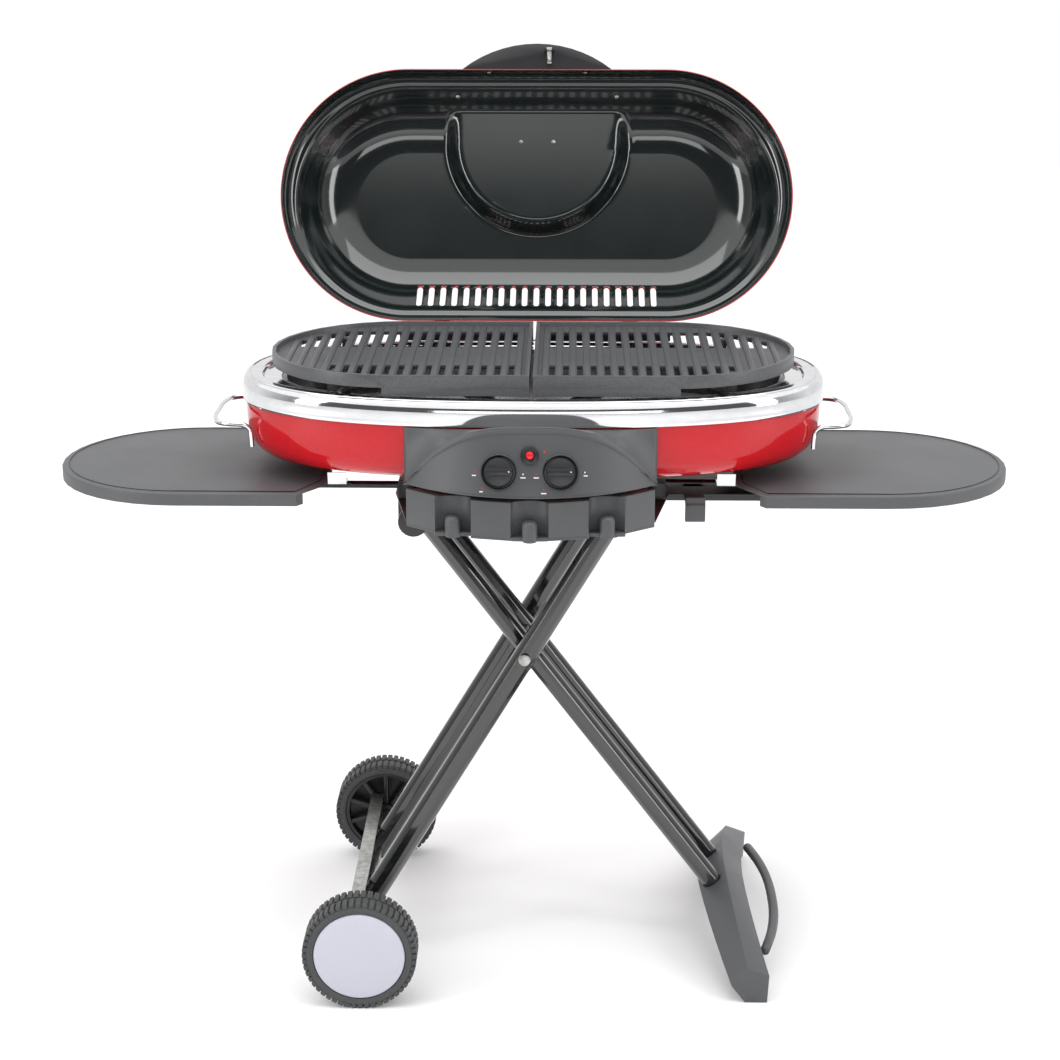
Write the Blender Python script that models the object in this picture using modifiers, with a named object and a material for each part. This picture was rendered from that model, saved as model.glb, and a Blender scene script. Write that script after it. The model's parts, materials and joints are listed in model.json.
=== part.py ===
"""Two-burner gas grill on folding scissor legs, with wheels, sliding side tables and a hinged lid.

Metres, +Z up, +Y towards the back. The cooking body is centred on X = 0, Y = 0 of the grill frame.
Every piece is made at its place in that frame, then given its origin on its own joint's axis.
"""

import math

import bmesh
import bpy
from mathutils import Matrix, Vector

# ---- clearances
GAP = 0.0003            # between pieces that touch
RUN = 0.0003            # radial play of a pin in its hole
SLIP = 0.002            # room round a piece that slides past another
CUT_PAST = 0.01         # how far a cutter runs past the face that it cuts

# ---- cooking body, a superellipse in plan
BODY_HALF_LENGTH = 0.353
BODY_HALF_DEPTH = 0.184
BODY_SQUARENESS = 2.45
BODY_SEGMENTS = 36
RIM_TOP = 0.741
RIM_BAND_HEIGHT = 0.029
RIM_BAND_BOTTOM = RIM_TOP - RIM_BAND_HEIGHT
RIM_SHEET = 0.0015
BOWL_INSET = 0.004
BOWL_DROP = 0.075
BOWL_FLOOR = RIM_BAND_BOTTOM - BOWL_DROP
BOWL_SHEET = 0.0015
PAN_SHEET = 0.0012
LEDGE_INNER = 0.048     # from the body's outline to the ledge's inner edge
LEDGE_DROP = 0.0055     # the ledge that carries the grates, below the rim's top

# ---- grates
GRATE_MARGIN_X = 0.036  # from the body's outline to the grates'
GRATE_MARGIN_Y = 0.0275
GRATE_STANDS = 0.0266   # above the rim
GRATE_HALF_LENGTH = BODY_HALF_LENGTH - GRATE_MARGIN_X
GRATE_HALF_DEPTH = BODY_HALF_DEPTH - GRATE_MARGIN_Y
GRATE_TOP = RIM_TOP + GRATE_STANDS
GRATE_RIM_HEIGHT = 0.015
GRATE_WALL = 0.005
GRATE_PLATE = 0.005
GRATE_RECESS = 0.006
GRATE_SPLIT = 0.004
GRATE_FOOT_X = 0.082    # a foot's middle, in from the grates' outline
GRATE_FOOT_Y = 0.005    # a foot's middle, inside the ledge's edge
SKIRT_HALF_LENGTH = 0.173
SKIRT_DROP = 0.0095
SLOT_PITCH = 0.0163
SLOT_WIDTH = 0.0068

# ---- lid
LID_MARGIN = 0.019      # from the body's outline to the lid's
LID_HALF_LENGTH = BODY_HALF_LENGTH - LID_MARGIN
LID_HALF_DEPTH = BODY_HALF_DEPTH - LID_MARGIN
LID_RIM_HEIGHT = 0.0065  # closed lid's rim above the chrome rim
LID_DEPTH = 0.0875
LID_SHEET = 0.0015
LID_OPEN_DEG = 108.4
LID_SEGMENTS = 36
HANDLE_HALF_LENGTH = 0.098
HANDLE_BULGE = 0.034
HANDLE_RISE = 0.0045
HANDLE_THICKNESS = 0.012
LATCH_X = 0.016
LATCH_HALF_WIDTH = 0.0035
LATCH_SHEET = 0.0015
LATCH_PIN_RADIUS = 0.0013
LATCH_REACH = 0.018
LATCH_HOOK = 0.005
HINGE_BEHIND = 0.0065
HINGE_BELOW = 0.0045
HINGE_Y = BODY_HALF_DEPTH + HINGE_BEHIND
HINGE_Z = RIM_TOP - HINGE_BELOW
HINGE_X = 0.122
HINGE_LENGTH = 0.058
HINGE_PIN_RADIUS = 0.0018
VENT_COUNT = 21
VENT_PITCH = 0.0155
VENT_WIDTH = 0.0075
VENT_LOW = 0.0385        # above the closed lid's rim
VENT_HIGH = 0.075
LID_SLOPE = 0.070       # from the lid's outline in to the end of its sloping wall

# ---- burners and gas train
BURNER_X = 0.155
BURNER_BELOW = 0.035    # below the rim
BURNER_Z = RIM_TOP - BURNER_BELOW
BURNER_RADIUS = 0.0075
BURNER_MARGIN = 0.124   # from the body's outline to the loop's middle line
VALVE_X = 0.035
VALVE_Z = RIM_TOP - 0.0665
MANIFOLD_RADIUS = 0.005
MANIFOLD_Z = VALVE_Z - 0.019
MANIFOLD_STANDS = 0.023  # in front of the body
IGNITER_Z = VALVE_Z + 0.019

# ---- control panel and tool rack
PANEL_HALF_LENGTH = 0.146
PANEL_BOTTOM = 0.647
PANEL_STANDS = 0.066    # in front of the body
PANEL_FRONT = BODY_HALF_DEPTH + PANEL_STANDS
PANEL_ARCH_TOP = 0.7225
PANEL_LEAN_DEG = 17.0
PANEL_WALL = 0.0025
KNOB_RADIUS = 0.0168
KNOB_HOLE = 0.0062
BUTTON_RADIUS = 0.0045
BUTTON_TRAVEL = 0.004
RACK_BOTTOM = 0.596
RACK_TOP = 0.6415
RACK_BACK = BODY_HALF_DEPTH + 0.004
NOTCH_X = 0.0885
NOTCH_RADIUS = 0.0225
PEG_RADIUS = 0.0088
PEG_TOP = 0.6205

# ---- base under the bowl
TRAY_TOP = 0.6025
TRAY_SHEET = 0.002
TRAY_HALF_DEPTH = BODY_HALF_DEPTH + 0.001
TRAY_HALF_LENGTH = 0.165
TRAY_ARM = 0.0675       # half width of the tray's arm, which stands out over the track
POST_SHEET = 0.0025
POST_TOP = BOWL_FLOOR + 0.014
TAB_FROM_FRONT = 0.056
TAB_FROM_END = 0.112     # its outer end stays inside the table's inner edge
TAB_WIDTH = 0.022

# ---- side tables
TABLE_TIP = 0.579
TABLE_MARGIN = 0.024    # room for the posts between the tables and the body's outline
TABLE_HALF_DEPTH = BODY_HALF_DEPTH - TABLE_MARGIN
TABLE_INNER = 0.243
TABLE_TOP = 0.626
TABLE_HEIGHT = 0.015
TABLE_SKIN = 0.0025
TABLE_CHAMFER_X = 0.032
TABLE_CHAMFER_Y = 0.049
TABLE_ROD_RADIUS = 0.0046
ROD_BELOW_SKIN = 0.0007
TABLE_ROD_Z = TABLE_TOP - TABLE_SKIN - ROD_BELOW_SKIN - TABLE_ROD_RADIUS
LEFT_ROD_Y = 0.088
RIGHT_ROD_Y = 0.074
ROD_HOLD = 0.09         # length of a rod under its own table
ROD_PAST_CENTRE = 0.008
GUIDE_X = 0.150

# ---- scissor legs
TOP_PIVOT_Z = 0.5745
FOOT_LEG_TOP_X = -0.1422
FOOT_LEG_DEG = 37.0
WHEEL_LEG_TOP_X = 0.0972
AXLE_X = -0.2056
WHEEL_RADIUS = 0.0694
FOOT_LEG_Y = 0.040
WHEEL_LEG_Y = 0.080
FOOT_LEG_WIDTH = 0.025
FOOT_LEG_DEPTH = 0.020
WHEEL_LEG_WIDTH = 0.029
WHEEL_LEG_DEPTH = 0.022
LEG_WALL = 0.0018
LEG_SEGMENTS = 12
LEG_PAST_TOP = 0.012
LEG_PAST_AXLE = 0.006
PIN_RADIUS = 0.004
BRACKET_SHEET = 0.0025
BRACKET_REACH = 0.021
CAP_RADIUS = 0.0185
CAP_Y = 0.0925
CAP_LENGTH = 0.008
TRACK_START = 0.060
TRACK_END = 0.300

# ---- catch on the tray's arm
CATCH_X = 0.195
CATCH_Y = CAP_Y + CAP_LENGTH + 0.003    # clear of the heads on the sliding pin
CATCH_HALF_LENGTH = 0.012
CATCH_DROP = 0.0235
CATCH_TOP = TABLE_TOP - TABLE_HEIGHT - 0.0015

# ---- wheels
WHEEL_OUTER_Y = 0.2396
WHEEL_WIDTH = 0.042
RIM_RADIUS = 0.0560
HUBCAP_RADIUS = 0.0552
WHEEL_SEGMENTS = 28

# ---- foot bar, which is the pull handle when the grill is folded
FOOT_HALF_LENGTH = 0.215
FOOT_SOCKET = 0.030
GRIP_HALF_LENGTH = 0.155
GRIP_RADIUS = 0.0062
GRIP_BULGE = 0.032
GRIP_Z = 0.040
FOOT_LEG_REACH = 0.632  # from the top pivot to the leg's lower end


# ================================================================ small tools
def clear_scene():
    for old in list(bpy.data.objects):
        bpy.data.objects.remove(old, do_unlink=True)


def make_collection(name):
    made = bpy.data.collections.new(name)
    bpy.context.scene.collection.children.link(made)
    return made


def make_material(name, colour, roughness, metallic=0.0):
    made = bpy.data.materials.new(name)
    made.use_nodes = True
    shader = made.node_tree.nodes["Principled BSDF"]
    shader.inputs["Base Color"].default_value = (*colour, 1.0)
    shader.inputs["Roughness"].default_value = roughness
    shader.inputs["Metallic"].default_value = metallic
    return made


def add_body(name, parent, pivot):
    """An empty on the joint's axis, which everything on the body is parented to."""
    empty = bpy.data.objects.new(f"{name}_pivot", None)
    PARTS.objects.link(empty)
    if parent:
        empty.parent = BODIES[parent]
        empty.location = Vector(pivot) - PIVOTS[parent]
    else:
        empty.location = pivot
    BODIES[name] = empty
    PIVOTS[name] = Vector(pivot)


def add_piece(name, bm, body, material):
    """A finished bmesh in the grill frame becomes an object with its origin on its body's pivot."""
    bmesh.ops.recalc_face_normals(bm, faces=bm.faces)
    bm.transform(Matrix.Translation(-PIVOTS[body]))
    mesh = bpy.data.meshes.new(name)
    bm.to_mesh(mesh)
    bm.free()
    mesh.materials.append(MATERIALS[material])
    mesh.shade_smooth()
    mesh.set_sharp_from_angle(angle=math.radians(35))
    piece = bpy.data.objects.new(name, mesh)
    PARTS.objects.link(piece)
    piece.parent = BODIES[body]
    return piece


def add_cutter(name, bm, body):
    """A cutter moves with the body that it cuts."""
    cutter = add_piece(name, bm, body, "cutter")
    PARTS.objects.unlink(cutter)
    CUTTERS.objects.link(cutter)
    cutter.hide_render = True
    cutter.display_type = "WIRE"
    return cutter


def boolean(piece, other, operation="DIFFERENCE"):
    step = piece.modifiers.new(operation.lower(), "BOOLEAN")
    step.operation = operation
    step.object = other
    step.solver = "EXACT"


def thicken(piece, thickness, offset=-1.0):
    step = piece.modifiers.new("sheet", "SOLIDIFY")
    step.thickness = thickness
    step.offset = offset
    step.use_even_offset = True


def box(low, high):
    bm = bmesh.new()
    centre = (Vector(low) + Vector(high)) / 2
    size = Vector(high) - Vector(low)
    place = Matrix.Translation(centre) @ Matrix.Diagonal((*size, 1.0))
    bmesh.ops.create_cube(bm, size=1.0, matrix=place)
    return bm


def join(*parts):
    """Several bmeshes in one, which stay separate shells."""
    whole = parts[0]
    for part in parts[1:]:
        scratch = bpy.data.meshes.new("scratch")
        part.to_mesh(scratch)
        part.free()
        whole.from_mesh(scratch)
        bpy.data.meshes.remove(scratch)
    return whole


def cylinder(start, end, radius, segments=16, end_radius=None):
    bm = bmesh.new()
    run = Vector(end) - Vector(start)
    turn = run.to_track_quat("Z", "Y").to_matrix().to_4x4()
    place = Matrix.Translation((Vector(start) + Vector(end)) / 2) @ turn
    far = radius if end_radius is None else end_radius
    bmesh.ops.create_cone(bm, cap_ends=True, segments=segments, radius1=radius,
                          radius2=far, depth=run.length, matrix=place)
    return bm


def across(x, z, radius, half_length, segments=16):
    """A cylinder along Y through (x, z)."""
    return cylinder((x, -half_length, z), (x, half_length, z), radius, segments)


def extrude_outline(points, low, high, axis="Z"):
    """A closed outline pushed from low to high. Its two coordinates are the other axes, in order."""
    bm = bmesh.new()
    place = {"X": lambda a, b: (low, a, b), "Y": lambda a, b: (a, low, b), "Z": lambda a, b: (a, b, low)}
    face = bm.faces.new([bm.verts.new(place[axis](*point)) for point in points])
    pushed = bmesh.ops.extrude_face_region(bm, geom=[face])["geom"]
    step = {"X": (high - low, 0, 0), "Y": (0, high - low, 0), "Z": (0, 0, high - low)}[axis]
    bmesh.ops.translate(bm, vec=step, verts=[v for v in pushed if isinstance(v, bmesh.types.BMVert)])
    return bm


def loft(rings, closed_rings=True, caps=False, closed_loop=False):
    """Quads between rings of equal length."""
    bm = bmesh.new()
    rows = [[bm.verts.new(point) for point in ring] for ring in rings]
    pairs = list(zip(rows, rows[1:]))
    if closed_loop:
        pairs.append((rows[-1], rows[0]))
    for row, following in pairs:
        count = len(row) if closed_rings else len(row) - 1
        for i in range(count):
            j = (i + 1) % len(row)
            bm.faces.new((row[i], row[j], following[j], following[i]))
    if caps in (True, "last"):
        bm.faces.new(rows[-1])
    if caps is True:
        bm.faces.new(list(reversed(rows[0])))
    return bm


def turned(profile, centre, segments, side=1.0):
    """A closed profile of (radius, along) spun about the Y axis through centre."""
    bm = bmesh.new()
    points = [bm.verts.new((0.0, side * along, radius)) for radius, along in profile]
    loop = [bm.edges.new((a, b)) for a, b in zip(points, points[1:] + points[:1])]
    bmesh.ops.spin(bm, geom=points + loop, cent=(0, 0, 0), axis=(0, 1, 0),
                   angle=2 * math.pi, steps=segments, use_merge=True)
    bmesh.ops.remove_doubles(bm, verts=bm.verts, dist=1e-6)
    bmesh.ops.translate(bm, vec=centre, verts=bm.verts)
    return bm


def wire(name, points, radius, body, material, sides=2, smooth=True):
    """A round wire through the points, with filled ends."""
    curve = bpy.data.curves.new(name, "CURVE")
    curve.dimensions = "3D"
    curve.bevel_depth = radius
    curve.bevel_resolution = sides
    curve.use_fill_caps = True
    path = through(points) if smooth else [Vector(p) for p in points]
    spline = curve.splines.new("POLY")
    spline.points.add(len(path) - 1)
    for knot, point in zip(spline.points, path):
        knot.co = (*(point - PIVOTS[body]), 1.0)
    curve.materials.append(MATERIALS[material])
    piece = bpy.data.objects.new(name, curve)
    PARTS.objects.link(piece)
    piece.parent = BODIES[body]
    return piece


def through(points, per_span=2):
    """Points along a Catmull-Rom curve through the given ones."""
    knots = [Vector(p) for p in points]
    knots = [knots[0] * 2 - knots[1], *knots, knots[-1] * 2 - knots[-2]]
    path = []
    for a, b, c, d in zip(knots, knots[1:], knots[2:], knots[3:]):
        for step in range(per_span):
            t = step / per_span
            path.append(0.5 * (2 * b + (c - a) * t + (2 * a - 5 * b + 4 * c - d) * t ** 2
                               + (3 * b - a - 3 * c + d) * t ** 3))
    return path + [knots[-2]]


def arc(centre, radius, start_deg, end_deg, steps):
    angles = [math.radians(start_deg + (end_deg - start_deg) * i / steps) for i in range(steps + 1)]
    return [(centre[0] + radius * math.cos(a), centre[1] + radius * math.sin(a)) for a in angles]


# ================================================================ plan outlines
def body_outline(inset, segments=BODY_SEGMENTS):
    """The cooking body's superellipse, drawn in by inset."""
    points = []
    for i in range(segments):
        angle = 2 * math.pi * i / segments
        c, s = math.cos(angle), math.sin(angle)
        x = math.copysign(abs(c) ** (2 / BODY_SQUARENESS), c) * (BODY_HALF_LENGTH - inset)
        y = math.copysign(abs(s) ** (2 / BODY_SQUARENESS), s) * (BODY_HALF_DEPTH - inset)
        points.append((x, y))
    return points


def body_half_depth_at(x, inset=0.0):
    share = abs(x) / (BODY_HALF_LENGTH - inset)
    return (BODY_HALF_DEPTH - inset) * (1 - share ** BODY_SQUARENESS) ** (1 / BODY_SQUARENESS)


def stadium(half_length, radius, segments):
    """Straight sides along X and round ends."""
    reach = half_length - radius
    steps = segments // 2 - 1
    return arc((reach, 0), radius, -90, 90, steps) + arc((-reach, 0), radius, 90, 270, steps)


def dished(profile, outline, caps):
    """A shell whose plan outline is drawn in by profile's first value at its second value's height."""
    return loft([[(x, y, z) for x, y in outline(inset)] for inset, z in profile], caps=caps)


# ================================================================ cooking body
def bowl_profile():
    rise = [(0.000, 0.000), (0.001, 0.036), (0.004, 0.046), (0.010, 0.0555), (0.020, 0.0635),
            (0.036, 0.0695), (0.061, 0.0735), (0.096, 0.075)]
    top = RIM_BAND_BOTTOM
    return [(BOWL_INSET, RIM_TOP - 0.0102)] + [
        (BOWL_INSET + inset, top - drop * (top - BOWL_FLOOR) / rise[-1][1]) for inset, drop in rise]


def make_cooking_body():
    bowl = add_piece("fire_bowl", dished(bowl_profile(), body_outline, "last"), "grill_top", "red_enamel")
    thicken(bowl, BOWL_SHEET)
    ledge = RIM_TOP - LEDGE_DROP
    rim = [(0.0005, RIM_BAND_BOTTOM), (0.0, RIM_TOP - 0.014), (0.002, RIM_TOP - 0.0055),
           (0.007, RIM_TOP - 0.001), (0.014, RIM_TOP), (0.023, RIM_TOP - 0.0005),
           (0.026, ledge + 0.0015), (0.034, ledge), (LEDGE_INNER, ledge)]
    ring = add_piece("rim_ring", dished(rim, body_outline, False), "grill_top", "chrome")
    thicken(ring, RIM_SHEET)
    flange = ledge - RIM_SHEET - GAP
    pan_floor = BOWL_FLOOR + 0.017
    pan = [(0.0065, flange), (0.052, flange), (0.058, flange - 0.032), (0.070, pan_floor + 0.008),
           (0.085, pan_floor + 0.0015), (0.110, pan_floor)]
    tray = add_piece("drip_pan", dished(pan, lambda inset: body_outline(inset, 28), "last"),
                     "grill_top", "pan_steel")
    thicken(tray, PAN_SHEET)
    ports = []
    for side in (-1, 1):
        ports.append(cylinder((side * VALVE_X, -BODY_HALF_DEPTH - CUT_PAST, VALVE_Z),
                              (side * VALVE_X, BURNER_MARGIN - 0.03 - BODY_HALF_DEPTH, VALVE_Z),
                              BURNER_RADIUS + SLIP, 16))
    port_cutter = add_cutter("burner_port_cutter", join(*ports), "grill_top")
    boolean(bowl, port_cutter)
    boolean(tray, port_cutter)


def make_burners():
    for side, name in ((-1, "left"), (1, "right")):
        loop_x, loop_y = 0.082, BODY_HALF_DEPTH - BURNER_MARGIN
        entry = side * VALVE_X
        feed = [(entry, -BODY_HALF_DEPTH, VALVE_Z), (entry, -loop_y - 0.075, VALVE_Z),
                (entry, -loop_y - 0.040, VALVE_Z + 0.006), (side * (VALVE_X + 0.004), -loop_y, BURNER_Z)]
        turn = [(side * (BURNER_X - loop_x * math.cos(a)), loop_y * math.sin(a), BURNER_Z)
                for a in (math.radians(d) for d in (0, 35, 70, 110, 145, 180, 215, 250, 285, 312))]
        wire(f"burner_{name}", feed + turn, BURNER_RADIUS, "grill_top", "burner_steel")
        valve_front = BODY_HALF_DEPTH + 0.044
        body = box((side * VALVE_X - 0.009, -valve_front + 0.012, VALVE_Z - 0.011),
                   (side * VALVE_X + 0.009, -BODY_HALF_DEPTH - 0.012, VALVE_Z + 0.010))
        valve = add_piece(f"valve_{name}", body, "grill_top", "brass")
        jet = cylinder((side * VALVE_X, -valve_front + 0.006, VALVE_Z),
                       (side * VALVE_X, -BODY_HALF_DEPTH - GAP, VALVE_Z), 0.0048, 12)
        boolean(valve, add_cutter(f"valve_jet_{name}", jet, "grill_top"), "UNION")
    run = -BODY_HALF_DEPTH - MANIFOLD_STANDS
    course = [(-0.055, run, MANIFOLD_Z), (0.0, run, MANIFOLD_Z), (0.080, run + 0.004, MANIFOLD_Z),
              (0.128, run + 0.017, MANIFOLD_Z)]
    wire("gas_manifold", course, MANIFOLD_RADIUS, "grill_top", "brass")
    front = panel_front(0.0, IGNITER_Z) - 2.5 * BUTTON_TRAVEL
    igniter = cylinder((0, -front, IGNITER_Z), (0, -BODY_HALF_DEPTH - 0.012, IGNITER_Z), 0.0085, 16)
    add_piece("igniter_module", igniter, "grill_top", "black_plastic")
    foot = BOWL_FLOOR + 0.017 + PAN_SHEET + GAP
    x = BURNER_X - 0.110
    tip = [(-x, 0.0, foot), (-x, 0.0, BURNER_Z - 0.012), (-x - 0.006, 0.006, BURNER_Z)]
    wire("spark_electrode", tip, 0.0016, "grill_top", "ceramic", sides=1)


# ================================================================ grates
def grate_outline(inset, side):
    """Half a stadium, with its straight end at the split."""
    radius = GRATE_HALF_DEPTH - inset
    reach = GRATE_HALF_LENGTH - GRATE_HALF_DEPTH
    inner = GRATE_SPLIT / 2 + inset
    curve = arc((reach, 0), radius, -90, 90, 16)
    outline = [(inner, -radius), *curve, (inner, radius)]
    return [(side * x, y) for x, y in outline]


def slot_boxes(side, low_y, high_y, first_x, last_x):
    count = int((last_x - first_x) / SLOT_PITCH + 0.5) + 1
    inside = GRATE_HALF_DEPTH - GRATE_WALL - 0.004
    reach = GRATE_HALF_LENGTH - GRATE_HALF_DEPTH
    boxes = []
    for i in range(count):
        x = first_x + i * SLOT_PITCH
        beyond = max(0.0, x + SLOT_WIDTH - reach)
        limit = math.sqrt(max(0.0, inside ** 2 - beyond ** 2))
        low, high = max(low_y, -limit), min(high_y, limit)
        if high - low > 2 * SLOT_WIDTH:
            boxes.append(box((side * x - SLOT_WIDTH / 2, low, GRATE_TOP - 0.03),
                             (side * x + SLOT_WIDTH / 2, high, GRATE_TOP + CUT_PAST)))
    return boxes


def make_grates():
    bottom = GRATE_TOP - GRATE_RIM_HEIGHT
    plate_top = GRATE_TOP - GRATE_RECESS
    for side, name in ((-1, "left"), (1, "right")):
        body = f"grate_{name}"
        grate = add_piece(f"grate_{name}", extrude_outline(grate_outline(0, side), bottom, GRATE_TOP),
                          body, "cast_iron")
        above = extrude_outline(grate_outline(GRATE_WALL, side), plate_top, GRATE_TOP + CUT_PAST)
        below = extrude_outline(grate_outline(GRATE_WALL, side), bottom - CUT_PAST, plate_top - GRATE_PLATE)
        boolean(grate, add_cutter(f"grate_recess_{name}", join(above, below), body))
        rear = slot_boxes(side, 0.027, GRATE_HALF_DEPTH - 0.0345, 0.0240, GRATE_HALF_LENGTH - 0.027)
        near = slot_boxes(side, -GRATE_HALF_DEPTH + 0.0185, -0.073, 0.0240, GRATE_HALF_LENGTH - 0.077)
        slots = rear + near
        boolean(grate, add_cutter(f"grate_slots_{name}", join(*slots), body))
        skirts = []
        for front in (-1, 1):
            ends = sorted((front * GRATE_HALF_DEPTH, front * (GRATE_HALF_DEPTH - GRATE_WALL)))
            reach = sorted((side * GRATE_SPLIT / 2, side * SKIRT_HALF_LENGTH))
            skirts.append(box((reach[0], ends[0] + 0.0005, bottom - SKIRT_DROP),
                              (reach[1], ends[1] - 0.0005, bottom + 0.002)))
            foot_x = side * (GRATE_HALF_LENGTH - GRATE_FOOT_X)
            foot_y = front * (body_half_depth_at(foot_x, LEDGE_INNER) - GRATE_FOOT_Y)
            skirts.append(box((foot_x - 0.006, foot_y - 0.006, RIM_TOP - LEDGE_DROP + GAP),
                              (foot_x + 0.006, foot_y + 0.006, plate_top - GRATE_PLATE + 0.002)))
        boolean(grate, add_cutter(f"grate_skirt_{name}", join(*skirts), body), "UNION")


# ================================================================ lid
def lid_outline(inset):
    return stadium(LID_HALF_LENGTH - inset, LID_HALF_DEPTH - inset, LID_SEGMENTS)


def make_lid():
    """Modelled closed over the rim, then swung open about the hinge by its empty."""
    rim = RIM_TOP + LID_RIM_HEIGHT
    shape = [(0.0, 0.0), (0.0005, 0.009), (0.005, 0.021), (0.0165, 0.031), (0.034, 0.050),
             (0.052, 0.069), (0.066, 0.082), (0.084, LID_DEPTH)]
    profile = [(inset, rim + depth) for inset, depth in shape]
    lid = add_piece("lid_shell", dished(profile, lid_outline, "last"), "lid", "red_enamel")
    thicken(lid, LID_SHEET)
    vents = []
    for i in range(VENT_COUNT):
        x = (i - (VENT_COUNT - 1) / 2) * VENT_PITCH
        vents.append(box((x - VENT_WIDTH / 2, LID_HALF_DEPTH - LID_SLOPE, rim + VENT_LOW),
                         (x + VENT_WIDTH / 2, LID_HALF_DEPTH + CUT_PAST, rim + VENT_HIGH)))
    boolean(lid, add_cutter("lid_vent_cutter", join(*vents), "lid"))
    front = -LID_HALF_DEPTH
    make_handle(front - 2 * GAP, rim + HANDLE_RISE)
    for side, name in ((-1, "left"), (1, "right")):
        middle = side * HINGE_X
        half = HINGE_LENGTH / 2
        leaf = [(HINGE_Y - 0.0035, HINGE_Z), (HINGE_Y, HINGE_Z - 0.0035), (HINGE_Y + 0.0035, HINGE_Z),
                (HINGE_Y + 0.0035, HINGE_Z + 0.009), (LID_HALF_DEPTH + 0.004, rim + 0.018),
                (LID_HALF_DEPTH + 0.0015, rim + 0.018), (LID_HALF_DEPTH + 0.0015, rim + 0.001),
                (HINGE_Y - 0.0035, HINGE_Z + 0.007)]
        arm = extrude_outline(leaf, middle - half * 0.36, middle + half * 0.36, "X")
        swinging = add_piece(f"lid_hinge_arm_{name}", arm, "lid", "hinge_steel")
        bore = cylinder((middle - half, HINGE_Y, HINGE_Z), (middle + half, HINGE_Y, HINGE_Z),
                        HINGE_PIN_RADIUS + RUN, 12)
        boolean(swinging, add_cutter(f"lid_hinge_bore_{name}", bore, "lid"))
        make_fixed_hinge(name, middle, half)


def make_handle(near, low):
    """A crescent lip along the lid's front edge, with two ears below it for the latch's pin."""
    bulge = HANDLE_BULGE
    radius = (HANDLE_HALF_LENGTH ** 2 + bulge ** 2) / (2 * bulge)
    half_angle = math.degrees(math.asin(HANDLE_HALF_LENGTH / radius))
    outline = arc((0, near - bulge + radius), radius, 270 - half_angle, 270 + half_angle, 14)
    crescent = extrude_outline(outline, low, low + HANDLE_THICKNESS)
    handle = add_piece("lid_handle", crescent, "lid", "black_plastic")
    x, y, z = PIVOTS["lid_latch"]
    reach = LATCH_HALF_WIDTH + 2 * GAP
    ears = [box((x + side * reach, y - 0.0028, z - 0.0026),
                (x + side * (reach + 0.0022), y + 0.0028, low + 0.002)) for side in (1, -1)]
    boolean(handle, add_cutter("latch_ears", join(*ears), "lid"), "UNION")
    pin = cylinder((x - reach - 0.001, y, z), (x + reach + 0.001, y, z), LATCH_PIN_RADIUS, 10)
    boolean(handle, add_cutter("latch_pin", pin, "lid"), "UNION")


def make_fixed_hinge(name, middle, half):
    """Two knuckles and their pin on a leaf that stands off the back of the bowl."""
    back = body_half_depth_at(HINGE_X - half) + GAP
    leaf = [(back, HINGE_Z - 0.022), (back + 0.002, HINGE_Z - 0.022), (back + 0.002, HINGE_Z - 0.008),
            (HINGE_Y + 0.003, HINGE_Z - 0.0025), (HINGE_Y + 0.003, HINGE_Z + 0.003),
            (HINGE_Y - 0.003, HINGE_Z + 0.003), (HINGE_Y - 0.003, HINGE_Z - 0.0045), (back, HINGE_Z - 0.006)]
    fixed = add_piece(f"lid_hinge_leaf_{name}", extrude_outline(leaf, middle - half, middle + half, "X"),
                      "grill_top", "hinge_steel")
    gap = box((middle - half * 0.42, HINGE_Y - 0.02, HINGE_Z - 0.0065),
              (middle + half * 0.42, HINGE_Y + 0.02, HINGE_Z + 0.02))
    boolean(fixed, add_cutter(f"hinge_gap_{name}", gap, "grill_top"))
    pin = cylinder((middle - half * 0.8, HINGE_Y, HINGE_Z), (middle + half * 0.8, HINGE_Y, HINGE_Z),
                   HINGE_PIN_RADIUS, 12)
    boolean(fixed, add_cutter(f"hinge_pin_{name}", pin, "grill_top"), "UNION")


def make_latch():
    """A hook that swings on the handle's pin. It hangs straight down while the lid is open."""
    x, y, z = PIVOTS["lid_latch"]
    bore = LATCH_PIN_RADIUS + RUN
    eye = cylinder((x - LATCH_HALF_WIDTH, y, z), (x + LATCH_HALF_WIDTH, y, z), bore + LATCH_SHEET * 0.7, 12)
    latch = add_piece("lid_latch", eye, "lid_latch", "hinge_steel")
    near, far, tip = y + LATCH_SHEET / 2, y - LATCH_SHEET / 2, z - LATCH_REACH
    strap = [(near, z - bore), (near, tip), (far - LATCH_HOOK, tip), (far - LATCH_HOOK, tip + LATCH_SHEET),
             (far, tip + LATCH_SHEET), (far, z - bore)]
    hanging = extrude_outline(strap, x - LATCH_HALF_WIDTH * 0.8, x + LATCH_HALF_WIDTH * 0.8, "X")
    boolean(latch, add_cutter("lid_latch_strap", hanging, "lid_latch"), "UNION")
    hole = cylinder((x - 0.02, y, z), (x + 0.02, y, z), bore, 12)
    boolean(latch, add_cutter("lid_latch_bore", hole, "lid_latch"))


# ================================================================ panel and rack
def bow(x, front=PANEL_FRONT):
    """How far forward the bowed front stands at x."""
    drop = PANEL_FRONT - (body_half_depth_at(PANEL_HALF_LENGTH) + 0.013)
    radius = (PANEL_HALF_LENGTH ** 2 + drop ** 2) / (2 * drop)
    return front - (radius - math.sqrt(radius ** 2 - x ** 2))


def arch_height(x):
    rise = PANEL_ARCH_TOP - PANEL_BOTTOM
    return PANEL_ARCH_TOP - (rise - 0.003) * (abs(x) / PANEL_HALF_LENGTH) ** 2.8


def panel_front(x, z):
    """Where the leaning face is at x and z, as a distance forward."""
    return bow(x) - (z - PANEL_BOTTOM) * math.tan(math.radians(PANEL_LEAN_DEG))


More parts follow.
